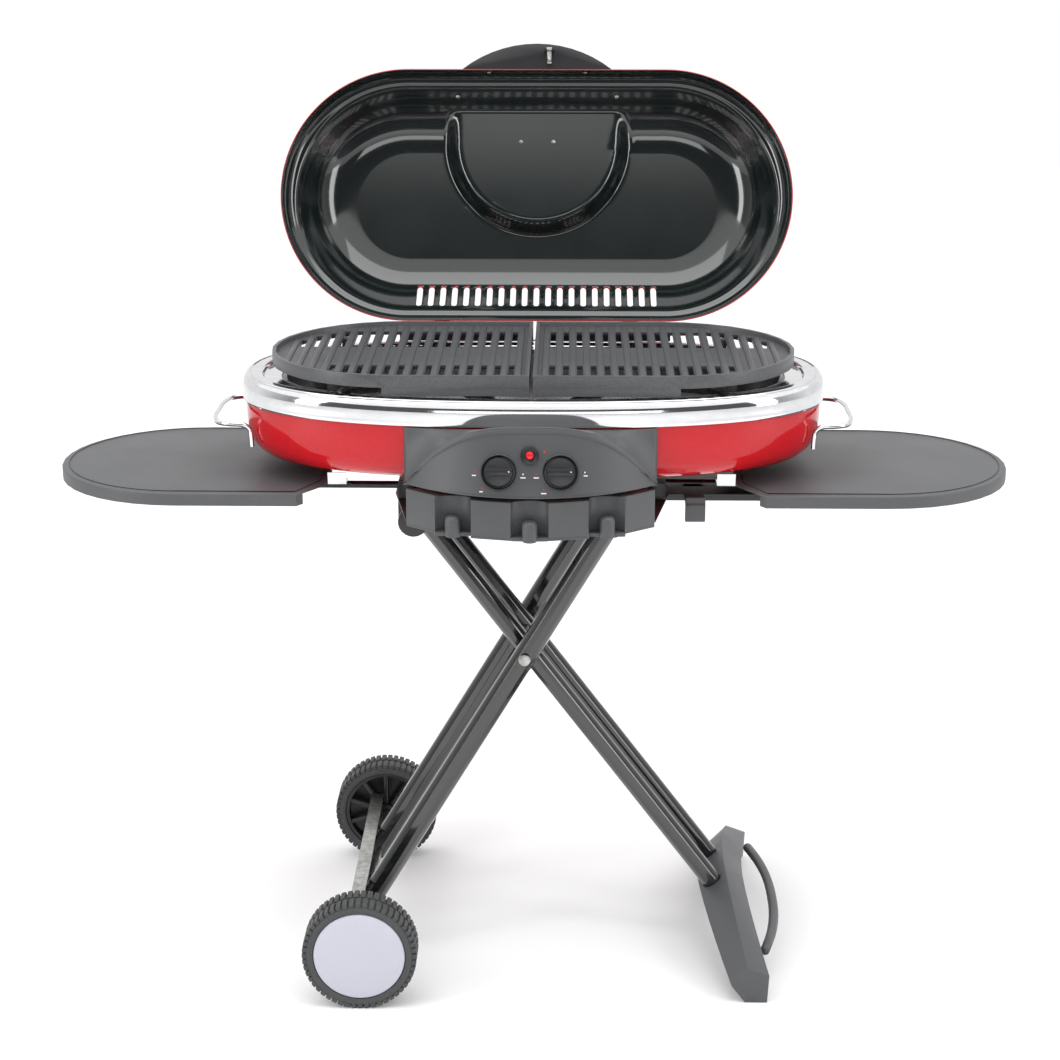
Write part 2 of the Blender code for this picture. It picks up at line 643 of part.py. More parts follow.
def make_panel():
    stations = 14
    top = RIM_BAND_BOTTOM - PANEL_WALL / 2
    rings = []
    for i in range(stations + 1):
        x = PANEL_HALF_LENGTH * (2 * i / stations - 1)
        back = body_half_depth_at(x) - 0.0002
        ridge = arch_height(x)
        rings.append([(x, -bow(x) + 0.010, PANEL_BOTTOM), (x, -bow(x), PANEL_BOTTOM),
                      (x, -panel_front(x, (ridge + PANEL_BOTTOM) / 2), (ridge + PANEL_BOTTOM) / 2),
                      (x, -panel_front(x, ridge), ridge), (x, -back, top)])
    shell = loft(rings, closed_rings=False)
    panel = add_piece("control_panel", shell, "grill_top", "panel_plastic")
    outward = Vector((0, -1, 0.3))
    facing_out = sum(face.area * face.normal.dot(outward) for face in panel.data.polygons) > 0
    thicken(panel, PANEL_WALL, -1.0 if facing_out else 1.0)
    holes = [knob_axis(side * VALVE_X, VALVE_Z, KNOB_HOLE, 0.030) for side in (-1, 1)]
    holes.append(knob_axis(0.0, IGNITER_Z, BUTTON_RADIUS + 0.0016, 0.030))
    boolean(panel, add_cutter("panel_hole_cutter", join(*holes), "grill_top"))


def knob_axis(x, z, radius, half_length, segments=20):
    """A cylinder through the panel face, square to its lean."""
    point, out = face_point(x, z)
    return cylinder(point - out * half_length, point + out * half_length, radius, segments)


def face_point(x, z):
    lean = math.radians(PANEL_LEAN_DEG)
    return Vector((x, -panel_front(x, z), z)), Vector((0, -math.cos(lean), math.sin(lean)))


def make_controls():
    for side, name in ((-1, "left"), (1, "right")):
        point, out = face_point(side * VALVE_X, VALVE_Z)
        skirt = cylinder(point + out * 0.0035, point + out * 0.0145, KNOB_RADIUS, 28, KNOB_RADIUS * 0.94)
        knob = add_piece(f"knob_{name}", skirt, f"knob_{name}", "black_plastic")
        bar = box((-KNOB_RADIUS * 0.9, -0.0035, 0.010), (KNOB_RADIUS * 0.9, 0.0035, 0.0205))
        bar.transform(Matrix.Translation(point) @ facing(out))
        boolean(knob, add_cutter(f"knob_bar_{name}", bar, f"knob_{name}"), "UNION")
        stem = cylinder(point - out * 0.005, point + out * 0.006, KNOB_HOLE - 0.0022, 12)
        boolean(knob, add_cutter(f"knob_stem_{name}", stem, f"knob_{name}"), "UNION")
    point, out = face_point(0.0, IGNITER_Z)
    bezel = cylinder(point + out * GAP * 2, point + out * 0.0035, 0.0105, 24)
    ring = add_piece("igniter_bezel", bezel, "grill_top", "black_plastic")
    boolean(ring, add_cutter("bezel_bore", cylinder(point - out * 0.01, point + out * 0.02,
                                                    BUTTON_RADIUS + 0.0005, 20), "grill_top"))
    button = cylinder(point - out * 0.004, point + out * (BUTTON_TRAVEL + 0.0038), BUTTON_RADIUS, 18)
    add_piece("igniter_button", button, "igniter_button", "red_plastic")


def facing(out):
    """A turn that takes +Z to out and keeps X level."""
    across_x = Vector((1, 0, 0))
    up = out.cross(across_x)
    return Matrix((across_x, up, out)).transposed().to_4x4()


def make_rack():
    """A bowed block with three round notches, each with an upright peg to hang a tool on."""
    steps = 10
    front = [(PANEL_HALF_LENGTH * 0.985 * (2 * i / steps - 1)) for i in range(steps + 1)]
    outline = [(x, -bow(x)) for x in front] + [(front[-1], -RACK_BACK), (front[0], -RACK_BACK)]
    block = extrude_outline(outline, RACK_BOTTOM, RACK_TOP)
    rack = add_piece("tool_rack", block, "grill_top", "panel_plastic")
    inner = 0.0035
    pocket = [(x * 0.93, -bow(x) + 0.024) for x in front[3:-3]]
    pocket += [(pocket[-1][0], -RACK_BACK + CUT_PAST), (pocket[0][0], -RACK_BACK + CUT_PAST)]
    hollow = extrude_outline(pocket, RACK_BOTTOM + inner, RACK_TOP - inner)
    boolean(rack, add_cutter("rack_hollow", hollow, "grill_top"))
    notches, pegs = [], []
    for x in (-NOTCH_X, 0.0, NOTCH_X):
        y = -bow(x) - 0.008
        notches.append(cylinder((x, y, RACK_BOTTOM + inner), (x, y, RACK_TOP + CUT_PAST), NOTCH_RADIUS, 20))
        pegs.append(cylinder((x, y + 0.0095, RACK_BOTTOM + 0.0002), (x, y + 0.0095, PEG_TOP), PEG_RADIUS, 16))
    boolean(rack, add_cutter("rack_notches", join(*notches), "grill_top"))
    boolean(rack, add_cutter("rack_pegs", join(*pegs), "grill_top"), "UNION")


# ================================================================ base under the bowl
def make_base():
    wide, deep = TRAY_HALF_LENGTH, TRAY_HALF_DEPTH
    arm = TRAY_ARM
    catch_low_x, catch_high_x = CATCH_X - CATCH_HALF_LENGTH, CATCH_X + CATCH_HALF_LENGTH
    plan = [(-wide, -arm), (-wide + 0.02, -deep), (wide - 0.02, -deep), (wide, -arm), (catch_low_x, -arm),
            (catch_low_x, -CATCH_Y), (catch_high_x, -CATCH_Y), (catch_high_x, -arm), (TRACK_END + 0.01, -arm),
            (TRACK_END + 0.01, arm), (wide, arm), (wide - 0.02, deep), (-wide + 0.02, deep), (-wide, arm)]
    add_piece("base_tray", extrude_outline(plan, TRAY_TOP - TRAY_SHEET, TRAY_TOP), "grill_top", "black_steel")
    for side, name in ((-1, "front"), (1, "rear")):
        near = TABLE_HALF_DEPTH + 0.0065
        ends = sorted((side * near, side * (near + POST_SHEET)))
        post = box((-0.115, ends[0], TRAY_TOP + GAP), (0.115, ends[1], POST_TOP))
        add_piece(f"bowl_post_{name}", post, "grill_top", "black_steel")
        make_table_guide(side, name)
    side_web = FOOT_LEG_Y + FOOT_LEG_DEPTH / 2 + 0.0035
    under = TRAY_TOP - TRAY_SHEET - GAP
    low = TOP_PIVOT_Z - CAP_RADIUS
    outer = side_web + BRACKET_SHEET
    section = [(-outer, low), (-side_web, low), (-side_web, under - 0.002), (side_web, under - 0.002),
               (side_web, low), (outer, low), (outer, under), (-outer, under)]
    ends = (FOOT_LEG_TOP_X - BRACKET_REACH, FOOT_LEG_TOP_X + BRACKET_REACH)
    bracket = add_piece("leg_bracket", extrude_outline(section, *ends, "X"), "grill_top", "black_steel")
    bore = across(FOOT_LEG_TOP_X, TOP_PIVOT_Z, PIN_RADIUS + RUN, 0.08)
    boolean(bracket, add_cutter("leg_bracket_bore", bore, "grill_top"))
    make_track(under)
    back, low = CATCH_Y + GAP, TRAY_TOP - CATCH_DROP
    steps = [(back, CATCH_TOP), (back, low), (back + 0.005, low), (back + 0.008, low + 0.003),
             (back + 0.008, TRAY_TOP - TRAY_SHEET), (back + 0.0055, TRAY_TOP), (back + 0.0055, CATCH_TOP)]
    catch = extrude_outline([(-y, z) for y, z in steps], catch_low_x, catch_high_x, "X")
    add_piece("fold_catch", catch, "grill_top", "panel_plastic")
    for side, name in ((-1, "left"), (1, "right")):
        make_bowl_tab(side, name)


def make_table_guide(side, name):
    """Three upright blocks on a strip, with a bore for each table's rod."""
    middle = side * (LEFT_ROD_Y + RIGHT_ROD_Y) / 2
    end = GUIDE_X + 0.010
    strip = box((-end, middle - 0.015, TRAY_TOP + GAP), (end, middle + 0.015, TRAY_TOP + 0.0035))
    guide = add_piece(f"table_guide_{name}", strip, "grill_top", "black_plastic")
    skin = TABLE_TOP - TABLE_SKIN - 0.0006
    blocks = [box((x - 0.010, middle - 0.0145, TRAY_TOP + 0.002), (x + 0.010, middle + 0.0145, skin))
              for x in (-GUIDE_X, 0.0, GUIDE_X)]
    boolean(guide, add_cutter(f"guide_blocks_{name}", join(*blocks), "grill_top"), "UNION")
    bores = [cylinder((-0.3, side * y, TABLE_ROD_Z), (0.3, side * y, TABLE_ROD_Z), TABLE_ROD_RADIUS + RUN, 12)
             for y in (LEFT_ROD_Y, RIGHT_ROD_Y)]
    boolean(guide, add_cutter(f"guide_bores_{name}", join(*bores), "grill_top"))


def make_track(under):
    """A channel, open below, that the wheel legs' shoe slides along."""
    half, lip, wall = 0.045, 0.034, 0.002
    floor = under - 0.0127
    left = [(-half, under), (-half, floor), (-lip, floor), (-lip, floor + wall),
            (-half + wall, floor + wall), (-half + wall, under - wall)]
    section = left + [(-y, z) for y, z in reversed(left)]
    add_piece("leg_track", extrude_outline(section, TRACK_START, TRACK_END, "X"), "grill_top", "black_steel")


def make_bowl_tab(side, name):
    """A bent chrome foot under the bowl's curve, just clear of the table that slides below."""
    low = TABLE_TOP + 0.0015
    high = BOWL_FLOOR + 0.0065
    front = -BODY_HALF_DEPTH + TAB_FROM_FRONT
    section = [(front, high), (front + 0.006, low), (front + 0.030, low), (front + 0.030, low + 0.0015),
               (front + 0.007, low + 0.0015), (front + 0.002, high)]
    outer = BODY_HALF_LENGTH - TAB_FROM_END
    reach = sorted((side * (outer - TAB_WIDTH), side * outer))
    add_piece(f"bowl_tab_{name}", extrude_outline(section, reach[0], reach[1], "X"), "grill_top", "chrome")


def make_side_handles():
    for side, name in ((-1, "left"), (1, "right")):
        wall = BODY_HALF_LENGTH - BOWL_INSET
        y, z = 0.074, RIM_TOP - 0.053
        hug = wall * (1 - (y / (BODY_HALF_DEPTH - BOWL_INSET)) ** BODY_SQUARENESS) ** (1 / BODY_SQUARENESS)
        near = side * (hug + 0.0045)
        half = [(near, y, z - 0.030), (near, y, z - 0.012), (side * (hug + 0.010), y, z - 0.002),
                (side * (hug + 0.026), y - 0.002, z), (side * (hug + 0.042), y - 0.014, z),
                (side * (hug + 0.051), y - 0.040, z)]
        path = half + [(side * (hug + 0.053), 0.0, z)] + [(x, -yy, zz) for x, yy, zz in reversed(half)]
        wire(f"side_handle_{name}", path, 0.0031, "grill_top", "chrome")


# ================================================================ side tables
def table_outline(side, inset):
    """Round outer end, and the inner corners cut off."""
    reach = TABLE_TIP - TABLE_HALF_DEPTH
    radius = TABLE_HALF_DEPTH - inset
    curve = arc((reach, 0), radius, -90, 90, 20)
    outline = [(TABLE_INNER, -radius + TABLE_CHAMFER_Y), (TABLE_INNER + TABLE_CHAMFER_X, -radius), *curve,
               (TABLE_INNER + TABLE_CHAMFER_X, radius), (TABLE_INNER, radius - TABLE_CHAMFER_Y)]
    return [(side * x, y) for x, y in outline]


def make_tables():
    for side, name, rod_y in ((-1, "left", LEFT_ROD_Y), (1, "right", RIGHT_ROD_Y)):
        body = f"table_{name}"
        bottom = TABLE_TOP - TABLE_HEIGHT
        table = add_piece(f"side_table_{name}", extrude_outline(table_outline(side, 0), bottom, TABLE_TOP),
                          body, "table_plastic")
        inner = table_outline(side, TABLE_SKIN)
        mouth = [(x - side * CUT_PAST if abs(x) < TABLE_INNER + 0.001 else x, y) for x, y in inner]
        hollow = extrude_outline(mouth, bottom - CUT_PAST, TABLE_TOP - TABLE_SKIN)
        boolean(table, add_cutter(f"table_hollow_{name}", hollow, body))
        for front, place in ((-1, "front"), (1, "rear")):
            ends = sorted((side * (TABLE_INNER + ROD_HOLD), -side * ROD_PAST_CENTRE))
            rod = cylinder((ends[0], front * rod_y, TABLE_ROD_Z), (ends[1], front * rod_y, TABLE_ROD_Z),
                           TABLE_ROD_RADIUS, 12)
            add_piece(f"table_rod_{name}_{place}", rod, body, "black_chrome")


# ================================================================ legs
def leg_vector(degrees, towards):
    """Unit vector down a leg that leans from the vertical, towards +X or -X."""
    angle = math.radians(degrees)
    return Vector((towards * math.sin(angle), 0, -math.cos(angle)))


def wheel_leg_line():
    top = Vector((WHEEL_LEG_TOP_X, 0, TOP_PIVOT_Z))
    return top, Vector((AXLE_X, 0, WHEEL_RADIUS))


def crossing():
    """Where the two legs cross, which is the scissor's pivot."""
    top_w, axle = wheel_leg_line()
    top_f = Vector((FOOT_LEG_TOP_X, 0, TOP_PIVOT_Z))
    down_w = (axle - top_w).normalized()
    down_f = leg_vector(FOOT_LEG_DEG, 1)
    gap = top_w.x - top_f.x
    share = gap / (down_f.x / -down_f.z - down_w.x / -down_w.z)
    return Vector((top_f.x + share * down_f.x / -down_f.z, 0, TOP_PIVOT_Z - share))


def make_leg(name, start, end, y, width, depth, body, bores):
    """An oval tube, open at its ends, with bores along Y for its pins."""
    run = end - start
    turn = Matrix.Rotation(math.atan2(run.x, run.z), 4, "Y")
    place = Matrix.Translation((start + end) / 2 + Vector((0, y, 0))) @ turn
    bm = bmesh.new()
    bmesh.ops.create_cone(bm, cap_ends=False, segments=LEG_SEGMENTS, radius1=0.5, radius2=0.5,
                          depth=run.length,
                          matrix=place @ Matrix.Diagonal((width, depth, 1, 1)))
    leg = add_piece(name, bm, body, "gloss_black")
    thicken(leg, LEG_WALL)
    cuts = [cylinder((p.x, y - depth, p.z), (p.x, y + depth, p.z), PIN_RADIUS + RUN, 12) for p in bores]
    boolean(leg, add_cutter(f"{name}_bores", join(*cuts), body))


def make_legs():
    top_w, axle = wheel_leg_line()
    top_f = Vector((FOOT_LEG_TOP_X, 0, TOP_PIVOT_Z))
    cross = crossing()
    down_w = (axle - top_w).normalized()
    down_f = leg_vector(FOOT_LEG_DEG, 1)
    foot_end = top_f + down_f * FOOT_LEG_REACH
    for side, name in ((-1, "front"), (1, "rear")):
        make_leg(f"wheel_leg_{name}", top_w - down_w * LEG_PAST_TOP, axle + down_w * LEG_PAST_AXLE,
                 side * WHEEL_LEG_Y, WHEEL_LEG_WIDTH, WHEEL_LEG_DEPTH, "wheel_frame", [top_w, cross, axle])
        make_leg(f"foot_leg_{name}", top_f - down_f * LEG_PAST_TOP, foot_end,
                 side * FOOT_LEG_Y, FOOT_LEG_WIDTH, FOOT_LEG_DEPTH, "foot_frame", [top_f, cross])
    make_pin("foot_hinge_pin", top_f, "grill_top", CAP_RADIUS, CAP_LENGTH, 22)
    make_pin("scissor_bolt", cross, "wheel_frame", 0.0075, 0.003, 12)
    make_shoe(top_w)
    make_foot(foot_end, down_f)


def make_pin(name, centre, body, head_radius, head_length, segments):
    """A pin along Y with a round head outside each wheel leg."""
    shaft = across(centre.x, centre.z, PIN_RADIUS, CAP_Y + head_length / 2, 12)
    pin = add_piece(name, shaft, body, "black_steel")
    add_heads(pin, name, centre, body, head_radius, head_length, segments)


def add_heads(pin, name, centre, body, head_radius, head_length, segments):
    heads = [cylinder((centre.x, side * CAP_Y, centre.z), (centre.x, side * (CAP_Y + head_length), centre.z),
                      head_radius, segments) for side in (-1, 1)]
    boolean(pin, add_cutter(f"{name}_heads", join(*heads), body), "UNION")


def make_shoe(top):
    """The sliding shoe: a head inside the track, two ears below it and the pin through both wheel legs."""
    floor = TRAY_TOP - TRAY_SHEET - GAP - 0.0127
    head_low = floor + 0.0025
    ear_in, ear_out = 0.050, 0.0565
    beam_low, beam_high = floor - 0.0100, floor - 0.0027
    low = TOP_PIVOT_Z - 0.0115
    half = [(ear_out, beam_high), (0.031, beam_high), (0.031, head_low), (0.040, head_low),
            (0.040, head_low + 0.004)]
    right = [(ear_in, beam_low), (ear_in, low), (ear_out, low)]
    section = [(-y, z) for y, z in half] + [(y, z) for y, z in reversed(half)]
    section += [(y, z) for y, z in reversed(right)] + [(-y, z) for y, z in right]
    shoe = add_piece("slide_shoe", extrude_outline(section, top.x - 0.012, top.x + 0.012, "X"),
                     "slide_shoe", "black_plastic")
    shaft = across(top.x, top.z, PIN_RADIUS, CAP_Y + CAP_LENGTH / 2, 12)
    boolean(shoe, add_cutter("slide_pin", shaft, "slide_shoe"), "UNION")
    add_heads(shoe, "slide_pin", top, "slide_shoe", CAP_RADIUS, CAP_LENGTH, 22)


def make_foot(leg_end, down):
    """A long moulded bar: high in the middle, where the legs plug in, and on the ground at both ends."""
    stations = 12
    rings = []
    for i in range(stations + 1):
        y = FOOT_HALF_LENGTH * (2 * i / stations - 1)
        rings.append([(x, y, z) for x, z in foot_section(y)])
    foot = add_piece("foot_bar", loft(rings, caps=True), "foot_frame", "grey_plastic")
    sockets = []
    for side in (-1, 1):
        start = leg_end - down * (FOOT_SOCKET + 0.05)
        end = leg_end + down * GAP * 2
        bm = bmesh.new()
        turn = Matrix.Rotation(math.atan2((end - start).x, (end - start).z), 4, "Y")
        place = Matrix.Translation((start + end) / 2 + Vector((0, side * FOOT_LEG_Y, 0))) @ turn
        size = Matrix.Diagonal((FOOT_LEG_WIDTH + 2 * GAP, FOOT_LEG_DEPTH + 2 * GAP, 1, 1))
        bmesh.ops.create_cone(bm, cap_ends=True, segments=LEG_SEGMENTS, radius1=0.5, radius2=0.5,
                              depth=(end - start).length, matrix=place @ size)
        sockets.append(bm)
    boolean(foot, add_cutter("foot_sockets", join(*sockets), "foot_frame"))
    grip = []
    for i in range(9):
        y = GRIP_HALF_LENGTH * (i / 4 - 1)
        section = foot_section(y)
        face_x = max(section[2][0], section[3][0])
        bulge = GRIP_BULGE * (1 - (y / GRIP_HALF_LENGTH) ** 2)
        grip.append((face_x + GRIP_RADIUS + GAP + bulge, y, GRIP_Z))
    wire("pull_grip", grip, GRIP_RADIUS, "foot_frame", "grey_plastic")


def foot_section(y):
    """The bar's five corners at y, as (x, z), from its middle section to its end section."""
    share = (abs(y) / FOOT_HALF_LENGTH) ** 1.6
    corners = [((0.212, 0.074), (0.245, 0.022)), ((0.232, 0.040), (0.262, 0.000)),
               ((0.262, 0.034), (0.289, 0.000)), ((0.272, 0.070), (0.291, 0.036)),
               ((0.246, 0.096), (0.264, 0.046))]
    return [(a[0] + (b[0] - a[0]) * share, a[1] + (b[1] - a[1]) * share) for a, b in corners]


# ================================================================ wheels
def make_wheels():
    inner = WHEEL_OUTER_Y - WHEEL_WIDTH
    for side, name in ((-1, "front"), (1, "rear")):
        body = f"wheel_{name}"
        centre = (AXLE_X, side * inner, WHEEL_RADIUS)
        wide = WHEEL_WIDTH
        tread = [(RIM_RADIUS, 0.001), (WHEEL_RADIUS - 0.005, 0.0), (WHEEL_RADIUS, 0.005),
                 (WHEEL_RADIUS, wide - 0.005), (WHEEL_RADIUS - 0.005, wide), (RIM_RADIUS, wide - 0.001)]
        add_piece(f"tyre_{name}", turned(tread, centre, WHEEL_SEGMENTS, side), body, "tyre_rubber")
        bore, web = PIN_RADIUS + RUN, wide * 0.42
        hub = [(bore, 0.000), (0.011, 0.000), (0.011, web), (0.051, web), (0.051, 0.002),
               (RIM_RADIUS - GAP, 0.002), (RIM_RADIUS - GAP, wide - 0.0045), (0.051, wide - 0.0045),
               (0.051, web + 0.004), (bore, web + 0.004)]
        add_piece(f"wheel_hub_{name}", turned(hub, centre, WHEEL_SEGMENTS, side), body, "black_plastic")
        face = side * (inner + wide - 0.0040)
        cap = cylinder((AXLE_X, face, WHEEL_RADIUS), (AXLE_X, face + side * 0.004, WHEEL_RADIUS), HUBCAP_RADIUS, 36,
                       HUBCAP_RADIUS - 0.0015)
        add_piece(f"hub_cap_{name}", cap, body, "pale_plastic")
    add_piece("axle", across(AXLE_X, WHEEL_RADIUS, PIN_RADIUS, WHEEL_OUTER_Y - 0.008, 12), "wheel_frame",
              "hinge_steel")
    left = AXLE_X - WHEEL_LEG_WIDTH / 2 - 0.0045
    right, low, high, sheet = left + 0.0170, WHEEL_RADIUS - 0.0195, WHEEL_RADIUS + 0.0305, 0.002
    section = [(left, low), (right, low), (right, low + sheet), (left + sheet, low + sheet),
               (left + sheet, high - sheet), (right, high - sheet), (right, high), (left, high)]
    add_piece("axle_channel", extrude_outline(section, -inner + 0.006, inner - 0.006, "Y"), "wheel_frame",
              "galvanised")


# ================================================================ the whole grill
def stand_on_floor():
    """Moves the grill so that its origin is the floor point under the middle of its box."""
    bpy.context.view_layer.update()
    graph = bpy.context.evaluated_depsgraph_get()
    low, high = Vector((9, 9, 9)), Vector((-9, -9, -9))
    for piece in PARTS.objects:
        if piece.type == "EMPTY":
            continue
        shown = piece.evaluated_get(graph)
        for vertex in shown.to_mesh().vertices:
            point = shown.matrix_world @ vertex.co
            low = Vector(map(min, low, point))
            high = Vector(map(max, high, point))
        shown.to_mesh_clear()
    BODIES["grill_top"].location = (-(low.x + high.x) / 2, -(low.y + high.y) / 2, -low.z)


clear_scene()
PARTS = make_collection("folding_gas_grill")
CUTTERS = make_collection("cutters")
BODIES, PIVOTS = {}, {}
MATERIALS = {
    "red_enamel": make_material("red_enamel", (0.62, 0.012, 0.020), 0.18),
    "chrome": make_material("chrome", (0.80, 0.80, 0.82), 0.08, 1.0),
    "pan_steel": make_material("pan_steel", (0.55, 0.55, 0.56), 0.30, 1.0),
    "burner_steel": make_material("burner_steel", (0.35, 0.34, 0.33), 0.45, 1.0),
    "brass": make_material("brass", (0.60, 0.45, 0.18), 0.30, 1.0),
    "ceramic": make_material("ceramic", (0.85, 0.84, 0.80), 0.40),
    "cast_iron": make_material("cast_iron", (0.060, 0.062, 0.066), 0.55),
    "hinge_steel": make_material("hinge_steel", (0.50, 0.50, 0.50), 0.35, 1.0),
    "panel_plastic": make_material("panel_plastic", (0.075, 0.076, 0.080), 0.55),
    "black_plastic": make_material("black_plastic", (0.025, 0.026, 0.028), 0.40),
    "red_plastic": make_material("red_plastic", (0.65, 0.02, 0.03), 0.35),
    "black_steel": make_material("black_steel", (0.020, 0.020, 0.022), 0.35),
    "black_chrome": make_material("black_chrome", (0.06, 0.06, 0.065), 0.12, 1.0),
    "table_plastic": make_material("table_plastic", (0.115, 0.115, 0.120), 0.50),
    "gloss_black": make_material("gloss_black", (0.015, 0.017, 0.018), 0.10),
    "grey_plastic": make_material("grey_plastic", (0.130, 0.130, 0.135), 0.50),
    "tyre_rubber": make_material("tyre_rubber", (0.050, 0.051, 0.054), 0.70),
    "pale_plastic": make_material("pale_plastic", (0.70, 0.70, 0.78), 0.35),
    "galvanised": make_material("galvanised", (0.45, 0.45, 0.44), 0.40, 1.0),
    "cutter": make_material("cutter", (1.0, 0.5, 0.0), 0.5),
}
CROSS = crossing()
AXLE = Vector((AXLE_X, 0, WHEEL_RADIUS))
TOP_W = Vector((WHEEL_LEG_TOP_X, 0, TOP_PIVOT_Z))
add_body("grill_top", None, (0, 0, 0))
add_body("foot_frame", "grill_top", (FOOT_LEG_TOP_X, 0, TOP_PIVOT_Z))
add_body("wheel_frame", "foot_frame", CROSS)
add_body("slide_shoe", "wheel_frame", TOP_W)
for SIDE, PLACE in ((-1, "front"), (1, "rear")):
    add_body(f"wheel_{PLACE}", "wheel_frame", AXLE + Vector((0, SIDE * (WHEEL_OUTER_Y - WHEEL_WIDTH / 2), 0)))
for SIDE, PLACE in ((-1, "left"), (1, "right")):
    add_body(f"table_{PLACE}", "grill_top", (SIDE * TABLE_INNER, 0, TABLE_TOP - TABLE_HEIGHT))
    add_body(f"knob_{PLACE}", "grill_top", face_point(SIDE * VALVE_X, VALVE_Z)[0])
    add_body(f"grate_{PLACE}", "grill_top", (SIDE * BURNER_X, 0, GRATE_TOP - GRATE_RIM_HEIGHT))
add_body("igniter_button", "grill_top", face_point(0.0, IGNITER_Z)[0])
add_body("lid", "grill_top", (0, HINGE_Y, HINGE_Z))
LATCH_Y = -LID_HALF_DEPTH - HANDLE_BULGE + 0.0085
add_body("lid_latch", "lid", (LATCH_X, LATCH_Y, RIM_TOP + LID_RIM_HEIGHT - 0.003))

make_cooking_body()
make_burners()
make_grates()
make_lid()
make_latch()
make_panel()
make_controls()
make_rack()
make_base()
make_side_handles()
make_tables()
make_legs()
make_wheels()
BODIES["lid"].rotation_euler = (-math.radians(LID_OPEN_DEG), 0, 0)
BODIES["lid_latch"].rotation_euler = (math.radians(LID_OPEN_DEG), 0, 0)
stand_on_floor()
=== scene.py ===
# %% [markdown]
# # A folding gas grill, finished in Blender
# The frame holds every solid part of the grill at its real size. This lesson gives those parts their
# fine shapes and their finishes: enamel, chrome, cast iron, moulded plastic, paint and rubber.
# Each piece is put in the same place as the part that it stands for, and rides on the same body.

# %% Load the frame
import json
import math

import bmesh
import bpy
from mathutils import Matrix, Vector


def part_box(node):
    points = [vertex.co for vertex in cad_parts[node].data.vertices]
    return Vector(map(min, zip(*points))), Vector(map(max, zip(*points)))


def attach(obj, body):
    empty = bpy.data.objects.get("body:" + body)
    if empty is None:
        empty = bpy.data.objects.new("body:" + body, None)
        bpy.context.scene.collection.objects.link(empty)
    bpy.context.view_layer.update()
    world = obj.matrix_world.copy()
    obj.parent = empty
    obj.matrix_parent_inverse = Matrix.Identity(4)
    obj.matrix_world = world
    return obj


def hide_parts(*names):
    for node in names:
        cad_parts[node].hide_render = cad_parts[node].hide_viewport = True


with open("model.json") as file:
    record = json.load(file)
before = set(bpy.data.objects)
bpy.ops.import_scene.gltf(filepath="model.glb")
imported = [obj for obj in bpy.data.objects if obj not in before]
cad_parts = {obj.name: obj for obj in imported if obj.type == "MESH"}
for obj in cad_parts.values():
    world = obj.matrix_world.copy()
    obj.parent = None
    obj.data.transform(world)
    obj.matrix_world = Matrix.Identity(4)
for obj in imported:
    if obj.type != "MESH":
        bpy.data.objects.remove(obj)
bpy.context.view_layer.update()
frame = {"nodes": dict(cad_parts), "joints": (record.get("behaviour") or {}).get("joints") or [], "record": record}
NODES = frame["nodes"]
JOINTS = {joint["name"]: joint for joint in frame["joints"]}
print("parts in the frame:", len(NODES))

# %% [markdown]
# ## Where things are
# The cooking body is an oval, and nearly everything is placed from its middle. Its half sizes come
# from the rim's own box, so a change in the frame carries through to every piece below.

# %% Main places, read from the frame
rim_low, rim_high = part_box("rim_ring")
MIDDLE_Y = (rim_low.y + rim_high.y) / 2
BODY_HALF_LENGTH = rim_high.x
BODY_HALF_DEPTH = (rim_high.y - rim_low.y) / 2
RIM_TOP = rim_high.z
BAND_BOTTOM = rim_low.z
TO_PLACE = Matrix.Translation((0, MIDDLE_Y, 0))
print("middle of the body, y:", round(MIDDLE_Y, 4), "half depth:", round(BODY_HALF_DEPTH, 4))


def middle_of(node):
    low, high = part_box(node)
    return (low + high) / 2


# %% [markdown]
# ## Camera, floor and lights
# The camera stands a little above the grill and looks down at it by about 17 degrees, from 2.8 m
# away, with a long lens that keeps the proportions calm.

# %% Camera
CAMERA_DISTANCE = 2.8274
CAMERA_HEIGHT = 1.3778
CAMERA_SIDE = 0.0449
LOOK_DOWN = 0.2894
LOOK_LEFT = 0.0172
camera_data = bpy.data.cameras.new("camera")
camera_data.lens = 80.6
camera_data.sensor_width = 36.0
camera = bpy.data.objects.new("camera", camera_data)
camera.location = (CAMERA_SIDE, MIDDLE_Y - CAMERA_DISTANCE, CAMERA_HEIGHT)
camera.rotation_euler = (math.pi / 2 - LOOK_DOWN, 0, LOOK_LEFT)
bpy.context.scene.collection.objects.link(camera)
bpy.context.scene.camera = camera


# %% [markdown]
# Two short functions keep the finishes readable. One turns a colour code into linear values, and the
# other adds a shader node with its settings and inputs.

# %% Colours and nodes
def linear(hex_code):
    """An sRGB hex colour as the linear values that Blender's sockets take."""
    parts = [int(hex_code[i:i + 2], 16) / 255 for i in (1, 3, 5)]
    return (*[c / 12.92 if c <= 0.04045 else ((c + 0.055) / 1.055) ** 2.4 for c in parts], 1.0)


def add_node(tree, kind, inputs=(), **settings):
    """Adds one shader node, with its settings, and its inputs as values or as links."""
    node = tree.nodes.new(f"ShaderNode{kind}")
    for key, value in settings.items():
        setattr(node, key, value)
    for key, value in dict(inputs).items():
        if isinstance(value, bpy.types.NodeSocket):
            tree.links.new(value, node.inputs[key])
        else:
            node.inputs[key].default_value = value
    return node


# %% [markdown]
# The floor is a wide, pale, dull sheet. It belongs to the stage and isn't a piece of the grill.

